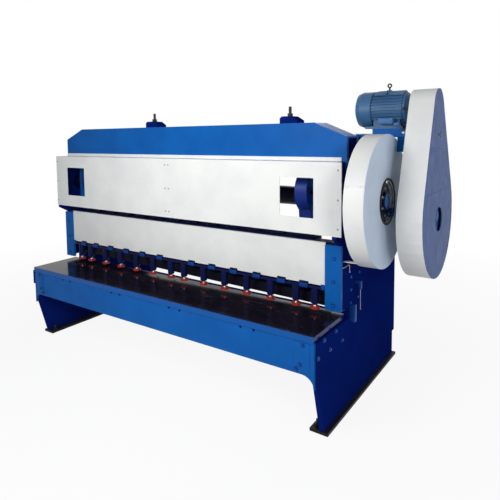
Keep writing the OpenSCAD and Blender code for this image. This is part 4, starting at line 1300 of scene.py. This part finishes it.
@dataclass
class Studio:
    """The floor, the lamps and the camera at the photograph's angle."""

    eye: tuple = (3.20566, -4.00929, 2.23868)
    yaw: float = 35.31
    pitch: float = -4.40
    roll: float = -0.69
    lens: float = 34.53
    shift: tuple = (0.0327, -0.1518)
    light: float = 0.17
    sky: tuple = (0.86, 0.93, 1, 1)
    floor_size: float = 60.0
    floor_drop: float = 0.002
    shadow_reach: tuple = (2.2, 6.5)
    shadow_glow: float = 0.9
    lamps: tuple = (
        Lamp("key", (0.5, -3.3, 2.9), (0.7, 0, 1.3), 1.4, 72),
        Lamp("fill", (-3.5, -4.5, 3.6), (-0.8, 0, 1.3), 2.5, 7, (0.7, 0.85, 1.0)),
        Lamp("side", (6.5, -0.6, 3.2), (2.0, 0.4, 1.9), 2.5, 24),
        Lamp("front side", (5.4, -3.6, 2.4), (2.0, 0.5, 1.7), 1.6, 70),
        Lamp("rim", (-1.0, 4.5, 4.2), (0, 0, 1.2), 2.5, 50))

    def camera(self) -> None:
        """Sets the camera where the photograph was taken from."""
        yaw, pitch, roll = (math.radians(v) for v in (self.yaw, self.pitch, self.roll))
        ahead = Vector((-math.sin(yaw) * math.cos(pitch), math.cos(yaw) * math.cos(pitch), math.sin(pitch)))
        level = Vector((math.cos(yaw), math.sin(yaw), 0))
        upright = level.cross(ahead)
        right = level * math.cos(roll) + upright * math.sin(roll)
        up = upright * math.cos(roll) - level * math.sin(roll)
        data = bpy.data.cameras.new("camera")
        data.lens = self.lens
        data.sensor_width = 36
        data.shift_x, data.shift_y = self.shift
        camera = bpy.data.objects.new("camera", data)
        turn = Matrix((right, up, -ahead)).transposed().to_4x4()
        camera.matrix_world = Matrix.Translation(self.eye) @ turn
        bpy.context.collection.objects.link(camera)
        bpy.context.scene.camera = camera

    def seen(self, tree: NodeTree) -> NodeSocket:
        """Tells the rays that see the background directly, mirrored or through something.

        Args:
            tree: The tree that gets the nodes.

        Returns:
            A socket that is 1 for those rays and 0 for others.
        """
        path = add_node(tree, "ShaderNodeLightPath")
        both = add_node(tree, "ShaderNodeMath", {"operation": "MAXIMUM"},
                        {0: path.outputs["Is Camera Ray"], 1: path.outputs["Is Glossy Ray"]})
        return add_node(tree, "ShaderNodeMath", {"operation": "MAXIMUM"},
                        {0: both.outputs["Value"], 1: path.outputs["Is Transmission Ray"]}).outputs["Value"]

    def world(self) -> None:
        """Makes a white world that lights the object softly."""
        world = bpy.data.worlds.new("studio")
        world.use_nodes = True
        bpy.context.scene.world = world
        tree = world.node_tree
        tree.nodes.clear()
        dim = add_node(tree, "ShaderNodeBackground", {"Color": self.sky, "Strength": self.light})
        white = add_node(tree, "ShaderNodeBackground", {"Color": (1, 1, 1, 1), "Strength": 1.0})
        mix = add_node(tree, "ShaderNodeMixShader", {},
                       {0: self.seen(tree), 1: dim.outputs[0], 2: white.outputs[0]})
        add_node(tree, "ShaderNodeOutputWorld", {}, {"Surface": mix.outputs[0]})

    def floor(self) -> None:
        """Lays a pale floor that keeps the shadow."""
        Bench.clear()
        bpy.ops.mesh.primitive_plane_add(size=self.floor_size, location=(0, 0, -self.floor_drop))
        floor = bpy.context.object
        floor.name = "studio_floor"
        material = bpy.data.materials.new("studio_floor")
        material.use_nodes = True
        tree = material.node_tree
        tree.nodes.clear()
        matt = add_node(tree, "ShaderNodeBsdfDiffuse", {"Color": (0.9, 0.9, 0.9, 1)})
        glow = add_node(tree, "ShaderNodeEmission", {"Color": (1, 1, 1, 1), "Strength": 1.0})
        point = add_node(tree, "ShaderNodeTexCoord").outputs["Object"]
        reach = add_node(tree, "ShaderNodeVectorMath", {"operation": "LENGTH"}, {0: point})
        near, far = self.shadow_reach
        fade = add_node(tree, "ShaderNodeMapRange",
                        {"From Min": near, "From Max": far, "To Min": self.shadow_glow, "To Max": 1.0},
                        {"Value": reach.outputs["Value"]})
        share = add_node(tree, "ShaderNodeMath", {"operation": "MULTIPLY"},
                         {0: self.seen(tree), 1: fade.outputs["Result"]})
        mix = add_node(tree, "ShaderNodeMixShader", {},
                       {0: share.outputs["Value"], 1: matt.outputs[0], 2: glow.outputs[0]})
        add_node(tree, "ShaderNodeOutputMaterial", {}, {"Surface": mix.outputs[0]})
        floor.data.materials.append(material)

    def build(self) -> None:
        """Sets the whole studio."""
        self.camera()
        self.world()
        self.floor()
        for lamp in self.lamps:
            lamp.hang()
        bpy.context.scene.view_settings.view_transform = "Standard"


def main() -> None:
    """Builds and dresses everything."""
    logging.basicConfig(level=logging.INFO, format="%(name)s: %(message)s")
    Studio().build()
    NodeDressing().dress()
    for part in (SideFrames(), Covers(), FrontStrips(), HoldDowns(), CrankDrive(), RoundGuard(), BeltGuard(),
                 Motor(), Apron()):
        part.build()
        LOG.info("%s done", type(part).__name__)


if __name__ == "__main__":
    main()
